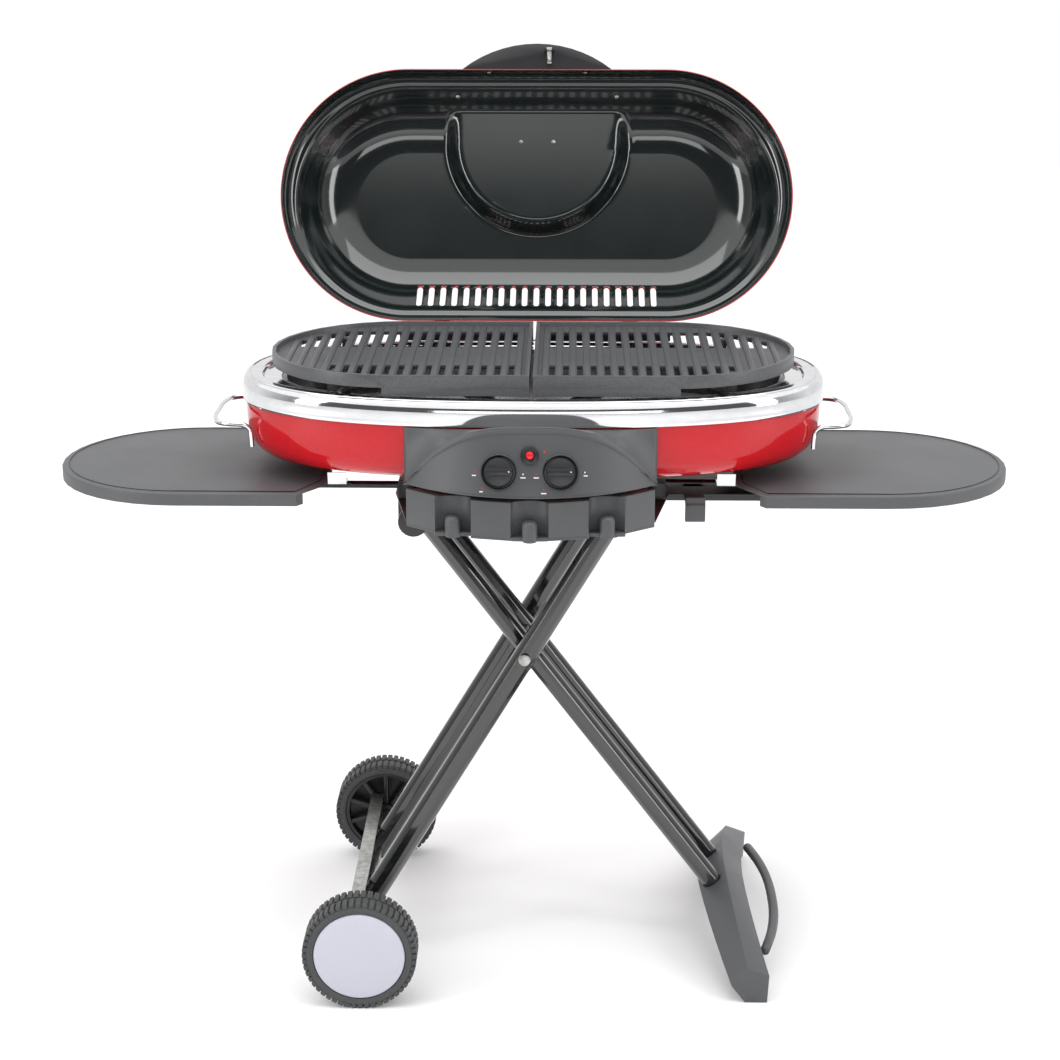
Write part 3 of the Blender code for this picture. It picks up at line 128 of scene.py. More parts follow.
# %% Floor
FLOOR_SIZE = 14.0
floor_mesh = bpy.data.meshes.new("floor")
floor_bm = bmesh.new()
bmesh.ops.create_grid(floor_bm, x_segments=1, y_segments=1, size=FLOOR_SIZE / 2)
floor_bm.to_mesh(floor_mesh)
floor_bm.free()
floor = bpy.data.objects.new("floor", floor_mesh)
floor_finish = bpy.data.materials.new("pale_floor")
floor_finish.use_nodes = True
floor_shader = floor_finish.node_tree.nodes["Principled BSDF"]
floor_shader.inputs["Base Color"].default_value = linear("#F2F2F2")
floor_shader.inputs["Roughness"].default_value = 0.9
floor_shader.inputs["Specular IOR Level"].default_value = 0.1
floor_mesh.materials.append(floor_finish)
bpy.context.scene.collection.objects.link(floor)


# %% [markdown]
# Two tall soft boxes, one overhead and a low one in front give the long reflections that show gloss
# paint and chrome for what they are. The world is bright high up and behind the grill, and dim on
# the camera's side, so the dark lid has an edge of light to reflect.

# %% Lights
LAMP_AIM = (0, 0, 0.6)


def soft_box(name, place, aim, width, height, watts):
    light = bpy.data.lights.new(name, "AREA")
    light.shape = "RECTANGLE"
    light.size, light.size_y = width, height
    light.energy = watts
    lamp = bpy.data.objects.new(name, light)
    lamp.location = place
    lamp.rotation_euler = (Vector(aim) - Vector(place)).to_track_quat("-Z", "Y").to_euler()
    bpy.context.scene.collection.objects.link(lamp)


soft_box("overhead", (0, -0.4, 3.2), LAMP_AIM, 3.0, 2.0, 40)
soft_box("left_tall", (-2.6, -1.6, 1.5), LAMP_AIM, 0.7, 2.4, 34)
soft_box("right_tall", (2.6, -1.3, 1.5), LAMP_AIM, 0.7, 2.4, 28)
soft_box("front_low", (0.2, -3.6, 0.9), LAMP_AIM, 2.4, 0.7, 16)
world = bpy.data.worlds.new("studio")
world.use_nodes = True
sky_tree = world.node_tree
toward = add_node(sky_tree, "TexCoord")
parts = add_node(sky_tree, "SeparateXYZ", {"Vector": toward.outputs["Generated"]})
behind = add_node(sky_tree, "MapRange", {
    "Value": parts.outputs["Y"], "From Min": -0.6, "From Max": 0.3, "To Min": 0.12, "To Max": 1.0})
above = add_node(sky_tree, "MapRange", {
    "Value": parts.outputs["Z"], "From Min": 0.47, "From Max": 0.495, "To Min": 0.0, "To Max": 1.35})
share = add_node(sky_tree, "Math", {0: behind.outputs["Result"], 1: above.outputs["Result"]},
                 operation="MAXIMUM")
sky_tree.links.new(share.outputs["Value"], sky_tree.nodes["Background"].inputs["Strength"])
sky_tree.nodes["Background"].inputs["Color"].default_value = linear("#FFFFFF")
bpy.context.scene.world = world
bpy.context.scene.view_settings.view_transform = "Standard"

# %% [markdown]
# ## Finishes
# Every finish is one Principled shader. A fine pattern at its real size in millimetres sets a small
# change of colour and of height, and a broad, faint one changes the roughness, as handling does.


# %% One builder for all finishes
def make_finish(name, base, other, grain_mm, relief_mm, roughness, rough_swing=0.05,
                stretch=(1, 1, 1), detail=3.0, **sockets):
    """base and other are the two colours that the fine pattern moves between."""
    finish = bpy.data.materials.new(name)
    finish.use_nodes = True
    tree = finish.node_tree
    shader = tree.nodes["Principled BSDF"]
    coords = add_node(tree, "TexCoord")
    mapping = add_node(tree, "Mapping", {"Vector": coords.outputs["Object"], "Scale": stretch})
    grain = add_node(tree, "TexNoise", {"Vector": mapping.outputs["Vector"], "Scale": 1000 / grain_mm,
                                        "Detail": detail, "Roughness": 0.6})
    share = add_node(tree, "MapRange", {"Value": grain.outputs["Fac"], "From Min": 0.35, "From Max": 0.65})
    mixed = add_node(tree, "Mix", {"Factor": share.outputs["Result"]}, data_type="RGBA")
    for key, colour in (("A", base), ("B", other)):
        socket = next(s for s in mixed.inputs if s.name == key and s.type == "RGBA")
        socket.default_value = linear(colour)
    tree.links.new([s for s in mixed.outputs if s.type == "RGBA"][0], shader.inputs["Base Color"])
    broad = add_node(tree, "TexNoise", {"Vector": coords.outputs["Object"], "Scale": 14.0, "Detail": 4.0})
    worn = add_node(tree, "MapRange", {
        "Value": broad.outputs["Fac"], "From Min": 0.3, "From Max": 0.7,
        "To Min": roughness - rough_swing / 2, "To Max": roughness + rough_swing / 2})
    tree.links.new(worn.outputs["Result"], shader.inputs["Roughness"])
    relief = add_node(tree, "Bump", {
        "Height": grain.outputs["Fac"], "Distance": relief_mm / 1000, "Strength": 1.0})
    tree.links.new(relief.outputs["Normal"], shader.inputs["Normal"])
    for key, value in sockets.items():
        shader.inputs[key.replace("_", " ")].default_value = value
    return finish


# %% [markdown]
# Porcelain enamel is glass fused to steel: a deep, wet gloss over an even colour, with the faint
# ripple of orange peel. The same enamel is red outside and green-black inside the lid.

# %% Enamel
RED_ENAMEL = make_finish("red_porcelain_enamel", "#B40E18", "#BC121E", 4.0, 0.006, 0.10, 0.03,
                         Coat_Weight=0.25, Coat_Roughness=0.03, Specular_IOR_Level=0.25)
DARK_ENAMEL = make_finish("black_porcelain_enamel", "#0E1414", "#131A1A", 2.6, 0.020, 0.12, 0.04,
                          Specular_IOR_Level=0.6, Coat_Weight=0.7, Coat_Roughness=0.05)

# %% [markdown]
# Bright metals: chrome plate for the rim and handles, plain formed steel in the pan, zinc on the
# small fittings. The grain is stretched where the sheet was brushed or rolled.

# %% Metals
CHROME = make_finish("chrome_plate", "#DCDCDE", "#D2D3D5", 9.0, 0.0006, 0.08, 0.04, stretch=(0.25, 1, 1),
                     Metallic=1.0)
PAN_STEEL = make_finish("formed_steel_sheet", "#B4B4B6", "#A2A2A4", 3.0, 0.02, 0.30, 0.12, Metallic=1.0)
BURNER_STEEL = make_finish("heat_dulled_steel", "#7C7A76", "#5C5650", 6.0, 0.02, 0.42, 0.1, Metallic=1.0)
ZINC = make_finish("zinc_plated_steel", "#B5B5B2", "#8F8F8C", 7.0, 0.02, 0.32, 0.15, Metallic=1.0)
BRASS = make_finish("machined_brass", "#B8974E", "#A58543", 2.0, 0.01, 0.28, 0.08, Metallic=1.0)
DARK_CHROME = make_finish("black_chrome_plate", "#3A3A3C", "#303032", 6.0, 0.004, 0.14, 0.05, Metallic=1.0)

# %% [markdown]
# The grates are cast iron under a matt black porcelain coat. Sand casting leaves a pebbled skin
# about half a millimetre across, drawn here a little coarser so that it shows.

# %% Cast iron
CAST_IRON = make_finish("coated_cast_iron", "#3A3B3D", "#4E4F52", 1.6, 0.16, 0.40, 0.14, detail=5.0,
                        Specular_IOR_Level=0.6)

# %% [markdown]
# Moulded plastics carry the fine spark-eroded texture of their tool, about a third of a millimetre
# across. The panel, rack, tables and foot are greys of the same family. Knobs are darker and smoother.

# %% Plastics, paint and rubber
PANEL_PLASTIC = make_finish("textured_grey_abs", "#424345", "#4A4B4D", 0.9, 0.05, 0.46, 0.08)
TABLE_PLASTIC = make_finish("textured_table_polypropylene", "#48494B", "#505153", 0.9, 0.05, 0.52, 0.08)
FOOT_PLASTIC = make_finish("textured_foot_polypropylene", "#47484B", "#515255", 1.0, 0.06, 0.50, 0.1)
BLACK_PLASTIC = make_finish("satin_black_nylon", "#17181A", "#1E1F21", 0.8, 0.03, 0.34, 0.08)
RED_PLASTIC = make_finish("red_button_abs", "#C8141E", "#D21A26", 1.0, 0.01, 0.25, 0.05)
PALE_PLASTIC = make_finish("silver_grey_painted_cap", "#B4B4C0", "#BABAC6", 1.2, 0.012, 0.30, 0.06)
GLOSS_BLACK = make_finish("gloss_black_paint", "#121314", "#191A1B", 3.0, 0.010, 0.16, 0.05,
                          Coat_Weight=1.0, Coat_Roughness=0.05)
BLACK_POWDER = make_finish("satin_black_powder_coat", "#161617", "#1E1E20", 1.2, 0.05, 0.36, 0.08)
TYRE_RUBBER = make_finish("moulded_tyre_rubber", "#38393A", "#434445", 2.2, 0.06, 0.62, 0.12)
CERAMIC = make_finish("glazed_ceramic", "#E8E6DE", "#E1DED4", 3.0, 0.005, 0.18, 0.05)
WHITE_PRINT = make_finish("white_pad_print", "#E6E6E6", "#DADADA", 1.0, 0.005, 0.45, 0.05)
RED_PRINT = make_finish("red_pad_print", "#C02832", "#B4222C", 1.0, 0.005, 0.45, 0.05)

# %% [markdown]
# ## Modelling helpers
# Three helpers do most of the work. A bent grid is a sheet of quads whose points are moved by a
# formula. A refined part is a copy of the frame's solid, merged and with its hard edges rounded.
# A finished piece gets its name, material and body, and hides the parts that it stands for.


# %% Helpers
def finish_piece(name, bm, body, material, slot, stands_for=(), crease=35, others=()):
    mesh = bpy.data.meshes.new(name)
    bm.to_mesh(mesh)
    bm.free()
    for used in (material, *others):
        mesh.materials.append(used)
    mesh.shade_smooth()
    mesh.set_sharp_from_angle(angle=math.radians(crease))
    piece = bpy.data.objects.new(name, mesh)
    bpy.context.scene.collection.objects.link(piece)
    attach(piece, body)
    if stands_for:
        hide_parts(*stands_for)
    return piece


def bent_grid(columns, rows, place, outside_of=None):
    """A grid whose points go to place(u, v), both from 0 to 1. Its faces look away from outside_of."""
    bm = bmesh.new()
    bmesh.ops.create_grid(bm, x_segments=columns, y_segments=rows, size=0.5)
    for vert in bm.verts:
        vert.co = place(vert.co.x + 0.5, vert.co.y + 0.5)
    bmesh.ops.remove_doubles(bm, verts=bm.verts, dist=1e-6)
    bmesh.ops.recalc_face_normals(bm, faces=bm.faces)
    if outside_of is not None:
        look_away(bm, Vector(outside_of))
    return bm


def look_away(bm, centre):
    facing = sum(f.calc_area() * f.normal.dot(f.calc_center_median() - centre) for f in bm.faces)
    if facing < 0:
        bmesh.ops.reverse_faces(bm, faces=bm.faces)


def along(points, t):
    """The point at t, from 0 to 1, on a smooth curve through the given points."""
    spans = len(points) - 1
    i = min(int(t * spans), spans - 1)
    f = t * spans - i
    a, b, c, d = (Vector(points[min(max(k, 0), spans)]) for k in (i - 1, i, i + 1, i + 2))
    return 0.5 * (2 * b + (c - a) * f + (2 * a - 5 * b + 4 * c - d) * f ** 2
                  + (3 * b - a - 3 * c + d) * f ** 3)


def sheet(piece, thickness, material_step=0, even=True):
    wall = piece.modifiers.new("sheet", "SOLIDIFY")
    wall.thickness = thickness
    wall.offset = -1.0
    wall.use_even_offset = even
    wall.material_offset = material_step


def hard_edges(bm, degrees=30):
    limit = math.radians(degrees)
    return [e for e in bm.edges if len(e.link_faces) == 2 and e.calc_face_angle(0) > limit]


def points_of(made):
    """Only the points among the parts that an operator returned."""
    return [part for part in made if isinstance(part, bmesh.types.BMVert)]


def round_edges(bm, radius, segments=2, degrees=30, only=None):
    edges = [e for e in hard_edges(bm, degrees) if only is None or only(e)]
    bmesh.ops.bevel(bm, geom=edges, offset=radius, offset_type="OFFSET", segments=segments, profile=0.5,
                    affect="EDGES", clamp_overlap=True, material=-1)


def copied_part(node):
    """The frame's solid as one merged bmesh with its flat faces whole."""
    bm = bmesh.new()
    bm.from_mesh(NODES[node].data)
    bmesh.ops.remove_doubles(bm, verts=bm.verts, dist=1e-5)
    bmesh.ops.dissolve_limit(bm, angle_limit=math.radians(0.6), verts=bm.verts, edges=bm.edges)
    return bm


def body_of(node):
    return next(name for name, members in frame["record"]["behaviour"]["bodies"].items() if node in members)


def slot_of(node):
    return next(part["material_slot"] for part in frame["record"]["subparts"] if part["node"] == node)


def refine(node, material, radius=0.0006, crease=32):
    bm = copied_part(node)
    if radius:
        round_edges(bm, radius)
    return finish_piece(f"fine_{node}", bm, body_of(node), material, slot_of(node), [node], crease)


def block(bm, low, high):
    centre, size = (Vector(low) + Vector(high)) / 2, Vector(high) - Vector(low)
    place = Matrix.Translation(centre) @ Matrix.Diagonal((*size, 1))
    return bmesh.ops.create_cube(bm, size=1, matrix=place)["verts"]


def slab(outline, low, high):
    """A flat outline in X and Y pushed up from low to high."""
    bm = bmesh.new()
    face = bm.faces.new([bm.verts.new((x, y, low)) for x, y in outline])
    pushed = bmesh.ops.extrude_face_region(bm, geom=[face])["geom"]
    bmesh.ops.translate(bm, vec=(0, 0, high - low), verts=points_of(pushed))
    bmesh.ops.recalc_face_normals(bm, faces=bm.faces)
    return bm


def bent_rod(points, radius, steps=72, sides=16):
    """A round bar whose middle runs smoothly through the points, with closed ends."""
    centres = [along(points, i / steps) for i in range(steps + 1)]
    frames = []
    side = Vector((0, 0, 1))
    for i, centre in enumerate(centres):
        run = (centres[min(i + 1, steps)] - centres[max(i - 1, 0)]).normalized()
        lean = side.dot(run)
        side = (side - run * lean).normalized() if abs(lean) < 0.99 else run.orthogonal().normalized()
        frames.append((centre, side, run.cross(side)))

    def place(u, v):
        centre, first, second = frames[round(v * steps)]
        angle = u * 2 * math.pi
        return centre + (first * math.cos(angle) + second * math.sin(angle)) * radius
    bm = bent_grid(sides, steps, place)
    bmesh.ops.holes_fill(bm, edges=bm.edges, sides=sides + 2)
    bmesh.ops.recalc_face_normals(bm, faces=bm.faces)
    return bm


SQUARENESS = 2.45


def superellipse(half_length, half_depth, u):
    """A point of the body's squared oval outline, at the share u of its way round."""
    angle = 2 * math.pi * u
    c, s = math.cos(angle), math.sin(angle)
    return (math.copysign(abs(c) ** (2 / SQUARENESS), c) * half_length,
            math.copysign(abs(s) ** (2 / SQUARENESS), s) * half_depth)


def stadium_point(reach, radius, u):
    """A point of a track-shaped outline, at the share u of its way round."""
    straight, bend = 2 * reach, math.pi * radius
    lengths = (straight, bend, straight, bend)
    way = u * sum(lengths)
    for part, length in enumerate(lengths):
        if way <= length or part == 3:
            break
        way -= length
    share = min(way / length, 1.0) if length > 0 else 0.0
    if part == 0:
        return -reach + straight * share, -radius
    if part == 2:
        return reach - straight * share, radius
    angle = math.pi * (share - 0.5) + (0 if part == 1 else math.pi)
    centre = reach if part == 1 else -reach
    return centre + radius * math.cos(angle), radius * math.sin(angle)


# %% [markdown]
# ## The bowl and its rim
# The bowl is pressed from one sheet: near-upright walls that curl under to a flat floor. In plan it
# is a squared oval, so one formula gives the outline and a profile gives how far it draws in.

# %% Bowl
bowl_low, bowl_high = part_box("fire_bowl")
BOWL_INSET = BODY_HALF_LENGTH - bowl_high.x
BOWL_DROP = BAND_BOTTOM - bowl_low.z
BOWL_SHEET = 0.0015
BOWL_PROFILE = [(0.0, -0.13), (0.0, 0.0), (0.0002, 0.16), (0.0006, 0.34), (0.002, 0.50),
                (0.005, 0.64), (0.012, 0.77), (0.023, 0.88), (0.038, 0.945), (0.060, 0.98), (0.096, 1.0)]


def bowl_place(u, v):
    draw_in, fall = along(BOWL_PROFILE, v)
    inset = BOWL_INSET + draw_in
    x, y = superellipse(BODY_HALF_LENGTH - inset, BODY_HALF_DEPTH - inset, u)
    return Vector((x, y + MIDDLE_Y, BAND_BOTTOM - fall * BOWL_DROP))


bowl_bm = bent_grid(144, 40, bowl_place, (0, MIDDLE_Y, BAND_BOTTOM))
floor_edges = [e for e in bowl_bm.edges if e.is_boundary and e.verts[0].co.z < bowl_low.z + 0.001]
bmesh.ops.holes_fill(bowl_bm, edges=floor_edges)
bowl = finish_piece("enamelled_bowl", bowl_bm, "grill_top", RED_ENAMEL, "red_enamel", ["fire_bowl"])
sheet(bowl, BOWL_SHEET)

# %% [markdown]
# The rim is a chromed ring that caps the bowl. It has a rolled outer band, a bead, a flat flange and
# a step down to the ledge that the grates stand on.

# %% Rim
RIM_SHEET = 0.0012
RIM_PROFILE = [(0.0006, 0.0290), (0.0, 0.0270), (0.0, 0.0230), (0.0, 0.0150), (0.0002, 0.0110),
               (0.0010, 0.0075), (0.0030, 0.0035), (0.0058, 0.0012), (0.0076, 0.0010), (0.0088, 0.0022),
               (0.0104, 0.0022), (0.0116, 0.0004), (0.0150, 0.0), (0.0215, 0.0002), (0.0240, 0.0010),
               (0.0252, 0.0030), (0.0262, 0.0050), (0.0280, 0.0056), (0.0340, 0.0056),
               (0.0400, 0.0056), (0.0475, 0.0056)]


def rim_place(u, v):
    inset, fall = along(RIM_PROFILE, v)
    x, y = superellipse(BODY_HALF_LENGTH - inset, BODY_HALF_DEPTH - inset, u)
    return Vector((x, y + MIDDLE_Y, RIM_TOP - fall))


rim_bm = bent_grid(192, 80, rim_place, (0, MIDDLE_Y, RIM_TOP - 0.05))
rim = finish_piece("chromed_rim", rim_bm, "grill_top", CHROME, "chrome", ["rim_ring"], crease=60)
sheet(rim, RIM_SHEET)

# %% [markdown]
# ## The lid
# The lid is a track-shaped pan. It is modelled shut, where its outline is level, and then swung open
# with the hinge's own angle. A rounded recess in the crown gives the hand room behind the handle.

# %% Lid measures
hinge = JOINTS["lid_hinge"]
HINGE = Vector(hinge["pos_m"])
LID_SWING = max(abs(angle) for angle in hinge["range_deg"])
SWING_OPEN = (Matrix.Translation(HINGE) @ Matrix.Rotation(-math.radians(LID_SWING), 4, "X")
              @ Matrix.Translation(-HINGE))
LID_GAP = 0.0065
LID_RIM = RIM_TOP + LID_GAP
LID_SHEET = 0.0013
LID_REACH = 0.169
LID_RADIUS = 0.165
LID_DEPTH = 0.0875
LID_PROFILE = [(0.0012, -0.0010), (0.0, 0.0004), (0.0, 0.0040), (0.0008, 0.0110), (0.0030, 0.0185),
               (0.0075, 0.0250), (0.0120, 0.0285), (0.0150, 0.0298), (0.0180, 0.0325), (0.0240, 0.0400),
               (0.0300, 0.0485), (0.0360, 0.0570), (0.0430, 0.0655), (0.0510, 0.0732), (0.0600, 0.0795),
               (0.0700, 0.0840), (0.0810, 0.0866), (0.0930, LID_DEPTH)]
RECESS_HALF_WIDTH = 0.124
RECESS_ARC_Y = -0.082
RECESS_LEVEL = 0.064
RECESS_FRONT_Y = -0.126
RECESS_SLOPE = 0.022
RECESS_DIP = 0.045
WALL_ROWS = 48
CROWN_ROWS = 44


def recess_share(x, y):
    """1 inside the hand recess, 0 outside it, with a slope between."""
    past = abs(x) if y < RECESS_ARC_Y else math.hypot(x, y - RECESS_ARC_Y)
    share = min(max((RECESS_HALF_WIDTH - past) / RECESS_SLOPE, 0.0), 1.0)
    return share * share * (3 - 2 * share)


def lid_place(u, v):
    """Rows run up the wall and then across the crown to its middle line."""
    split = WALL_ROWS / (WALL_ROWS + CROWN_ROWS)
    if v <= split:
        inset, depth = along(LID_PROFILE, v / split)
        radius = LID_RADIUS - inset
    else:
        inset, depth = LID_PROFILE[-1]
        radius = (LID_RADIUS - inset) * (1 - (v - split) / (1 - split))
    x, y = stadium_point(LID_REACH, radius, u)
    front = min(max((y - RECESS_FRONT_Y) / (-LID_RADIUS - RECESS_FRONT_Y), 0.0), 1.0)
    level = RECESS_LEVEL - front * RECESS_DIP
    depth -= recess_share(x, y) * max(depth - level, 0.0)
    return Vector((x, y + MIDDLE_Y, LID_RIM + depth))


# %% Lid
lid_bm = bent_grid(360, WALL_ROWS + CROWN_ROWS, lid_place, (0, MIDDLE_Y, LID_RIM))
bmesh.ops.transform(lid_bm, matrix=SWING_OPEN, verts=lid_bm.verts)
lid = finish_piece("enamelled_lid", lid_bm, "lid", RED_ENAMEL, "red_enamel", ["lid_shell"], 50, [DARK_ENAMEL])
sheet(lid, LID_SHEET, 1)
lid.modifiers["sheet"].material_offset_rim = 1

# %% [markdown]
# Twenty-one upright slots in the lid's rear wall let the heat out. They are cut with a Boolean from
# one set of rounded bars.

# %% Lid vents
VENT_COUNT = 21
VENT_PITCH = 0.0155
VENT_HALF_WIDTH = 0.0037
VENT_CORNER = 0.0034
VENT_LOW = LID_RIM + 0.0385
VENT_HIGH = LID_RIM + 0.0750
VENT_FRONT = MIDDLE_Y + 0.095
VENT_BACK = MIDDLE_Y + 0.18
vent_bm = bmesh.new()
for i in range(VENT_COUNT):
    x = (i - (VENT_COUNT - 1) / 2) * VENT_PITCH
    bar = block(vent_bm, (x - VENT_HALF_WIDTH, VENT_FRONT, VENT_LOW), (x + VENT_HALF_WIDTH, VENT_BACK, VENT_HIGH))
    edges = {e for v in bar for e in v.link_edges if abs(e.verts[0].co.y - e.verts[1].co.y) > 0.01}
    bmesh.ops.bevel(vent_bm, geom=list(edges), offset=VENT_CORNER, segments=3, profile=0.5, affect="EDGES",
                    material=-1)
bmesh.ops.transform(vent_bm, matrix=SWING_OPEN, verts=vent_bm.verts)
vent_mesh = bpy.data.meshes.new("vent_cutter")
vent_bm.to_mesh(vent_mesh)
vent_bm.free()
vent_cutter = bpy.data.objects.new("vent_cutter", vent_mesh)
bpy.context.scene.collection.objects.link(vent_cutter)
vent_cutter.hide_render = True
vent_cutter.display_type = "WIRE"
cut = lid.modifiers.new("vents", "BOOLEAN")
cut.operation = "DIFFERENCE"
cut.object = vent_cutter
cut.solver = "EXACT"

# %% [markdown]
# The handle is a crescent lip of black plastic along the lid's front edge. Rivets show as bright
# heads inside the lid, where the handle, the hinges and the recess's wall are fastened.

# %% Handle and rivets
handle_bm = copied_part("lid_handle")
round_edges(handle_bm, 0.0022, 3, 50)
finish_piece("crescent_handle", handle_bm, "lid", BLACK_PLASTIC, "black_plastic", ["lid_handle"])


def rivet_heads(name, spots, radius, body, move=None):
    """Low domed heads. Each spot is a point and the way that its head looks."""
    bm = bmesh.new()
    for point, look in spots:
        turn = Vector(look).to_track_quat("Z", "Y").to_matrix().to_4x4()
        place = Matrix.Translation(point) @ turn @ Matrix.Diagonal((1, 1, 0.5, 1))
        bmesh.ops.create_uvsphere(bm, u_segments=12, v_segments=8, radius=radius, matrix=place)
    if move:
        bmesh.ops.transform(bm, matrix=move, verts=bm.verts)
    return finish_piece(name, bm, body, ZINC, "hinge_steel")


RIVET_RADIUS = 0.0030
RIVET_ROWS = [
    ((-0.063, 0.063), MIDDLE_Y - LID_RADIUS + 0.0022, LID_RIM + 0.012, (0, 1, 0)),
    ((-0.147, -0.098, 0.099, 0.151), MIDDLE_Y + LID_RADIUS - 0.0022, LID_RIM + 0.012, (0, -1, 0)),
    ((-0.105, 0.105), MIDDLE_Y - 0.137, LID_RIM + 0.040, (0, 0.6, -0.8)),
    ((-0.0215, 0.0215), MIDDLE_Y - 0.082, LID_RIM + RECESS_LEVEL - 0.0016, (0, 0, -1)),
]
LID_RIVETS = [((x, y, z), look) for places, y, z, look in RIVET_ROWS for x in places]
rivet_heads("lid_rivets", LID_RIVETS, RIVET_RADIUS, "lid", SWING_OPEN)

# %% [markdown]
# ## The grates
# Two half grates of cast iron meet in the middle. Each has a raised edge all round, a sunk plate
# with two rows of slots, low ribs that run from front to back, and a skirt that keeps the flame in.

# %% Grates
SLOT_PITCH = 0.0163
RIB_HALF_WIDTH = 0.0036
RIB_COUNT = 18
FIRST_RIB = 0.0159
PLATE_DROP = 0.006
EDGE_WIDTH = 0.0065
for side in ("left", "right"):
    node = f"grate_{side}"
    grate_bm = copied_part(node)
    round_edges(grate_bm, 0.0009, 2, 40)
    finish_piece(f"iron_{node}", grate_bm, node, CAST_IRON, "cast_iron", [node], 40)
    low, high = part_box(node)
    sign = -1 if side == "left" else 1
    plate = high.z - PLATE_DROP
    radius = (high.y - low.y) / 2 - EDGE_WIDTH
    reach = max(abs(low.x), abs(high.x)) - (high.y - low.y) / 2
    ribs = bmesh.new()
    for i in range(RIB_COUNT):
        x = FIRST_RIB + i * SLOT_PITCH
        past = max(0.0, x + RIB_HALF_WIDTH - reach)
        half = math.sqrt(max(radius ** 2 - past ** 2, 0)) - 0.002
        if half > 0.02:
            block(ribs, (sign * x - RIB_HALF_WIDTH, MIDDLE_Y - half, plate - 0.001),
                  (sign * x + RIB_HALF_WIDTH, MIDDLE_Y + half, plate + 0.0016))
    round_edges(ribs, 0.0011, 2, 60)
    finish_piece(f"grate_ribs_{side}", ribs, node, CAST_IRON, "cast_iron")

# %% [markdown]
# ## The small parts under and round the bowl
# Most plain parts keep the frame's shape. They are copied, their faces joined up, and their hard
# edges rounded by a fraction of a millimetre so that they catch the light.

# %% Refined parts
REFINED = {
    "drip_pan": (PAN_STEEL, 0), "burner_left": (BURNER_STEEL, 0), "burner_right": (BURNER_STEEL, 0),
    "gas_manifold": (BRASS, 0), "valve_left": (BRASS, 0.0005), "valve_right": (BRASS, 0.0005),
    "igniter_module": (BLACK_PLASTIC, 0.0008), "igniter_bezel": (BLACK_PLASTIC, 0.0007),
    "spark_electrode": (CERAMIC, 0), "base_tray": (BLACK_POWDER, 0.0004), "bowl_post_front": (BLACK_POWDER, 0.0005),
    "bowl_post_rear": (BLACK_POWDER, 0.0005), "leg_bracket": (BLACK_POWDER, 0.0005),
    "leg_track": (BLACK_POWDER, 0.0005), "foot_hinge_pin": (BLACK_POWDER, 0.0012),
    "scissor_bolt": (ZINC, 0.0008), "slide_shoe": (BLACK_PLASTIC, 0.0008), "fold_catch": (PANEL_PLASTIC, 0.0012),
    "table_guide_front": (BLACK_PLASTIC, 0.0006), "table_guide_rear": (BLACK_PLASTIC, 0.0006),
    "bowl_tab_left": (CHROME, 0.0003), "bowl_tab_right": (CHROME, 0.0003),
    "lid_hinge_leaf_left": (ZINC, 0.0005), "lid_hinge_leaf_right": (ZINC, 0.0005),
    "lid_hinge_arm_left": (ZINC, 0.0005), "lid_hinge_arm_right": (ZINC, 0.0005), "lid_latch": (ZINC, 0.0003),
    "igniter_button": (RED_PLASTIC, 0.0008), "axle": (ZINC, 0.0006), "axle_channel": (ZINC, 0.0004),
}
for node, (material, radius) in REFINED.items():
    refine(node, material, radius)
for side in ("left", "right"):
    for place in ("front", "rear"):
        refine(f"table_rod_{side}_{place}", DARK_CHROME, 0.0008)
    refine(f"knob_{side}", BLACK_PLASTIC, 0.0009)

# %% [markdown]
# The side handles are bent from chromed wire, and the bar runs through a few bends that were made
# round a former, so the curve is smooth all the way.

# %% Side handles
WIRE_RADIUS = 0.0031
for side, sign in (("left", -1), ("right", 1)):
    low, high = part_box(f"side_handle_{side}")
    radius = WIRE_RADIUS
    out = max(abs(low.x), abs(high.x)) - radius
    near = min(abs(low.x), abs(high.x)) + radius
    half = (high.y - low.y) / 2 - radius
    top, foot = high.z - radius, low.z + radius
    half_path = [(near, half, foot), (near + 0.0005, half, foot + 0.012), (near + 0.002, half, top - 0.006),
                 (near + 0.010, half, top - 0.0005), (near + 0.026, half - 0.002, top),
                 (near + 0.040, half - 0.010, top), (out - 0.003, half - 0.026, top), (out, half - 0.046, top)]
    path = half_path + [(out, 0.0, top)] + [(x, -y, z) for x, y, z in reversed(half_path)]
    wire = bent_rod([(sign * x, y + MIDDLE_Y, z) for x, y, z in path], radius, 120)
    finish_piece(f"wire_handle_{side}", wire, "grill_top", CHROME, "chrome", [f"side_handle_{side}"], 80)

# %% [markdown]
# ## Side tables
# Each table is a moulded board with a round outer end. Its top edge is rounded, and a low lip inside
# the edge stops things from rolling off.

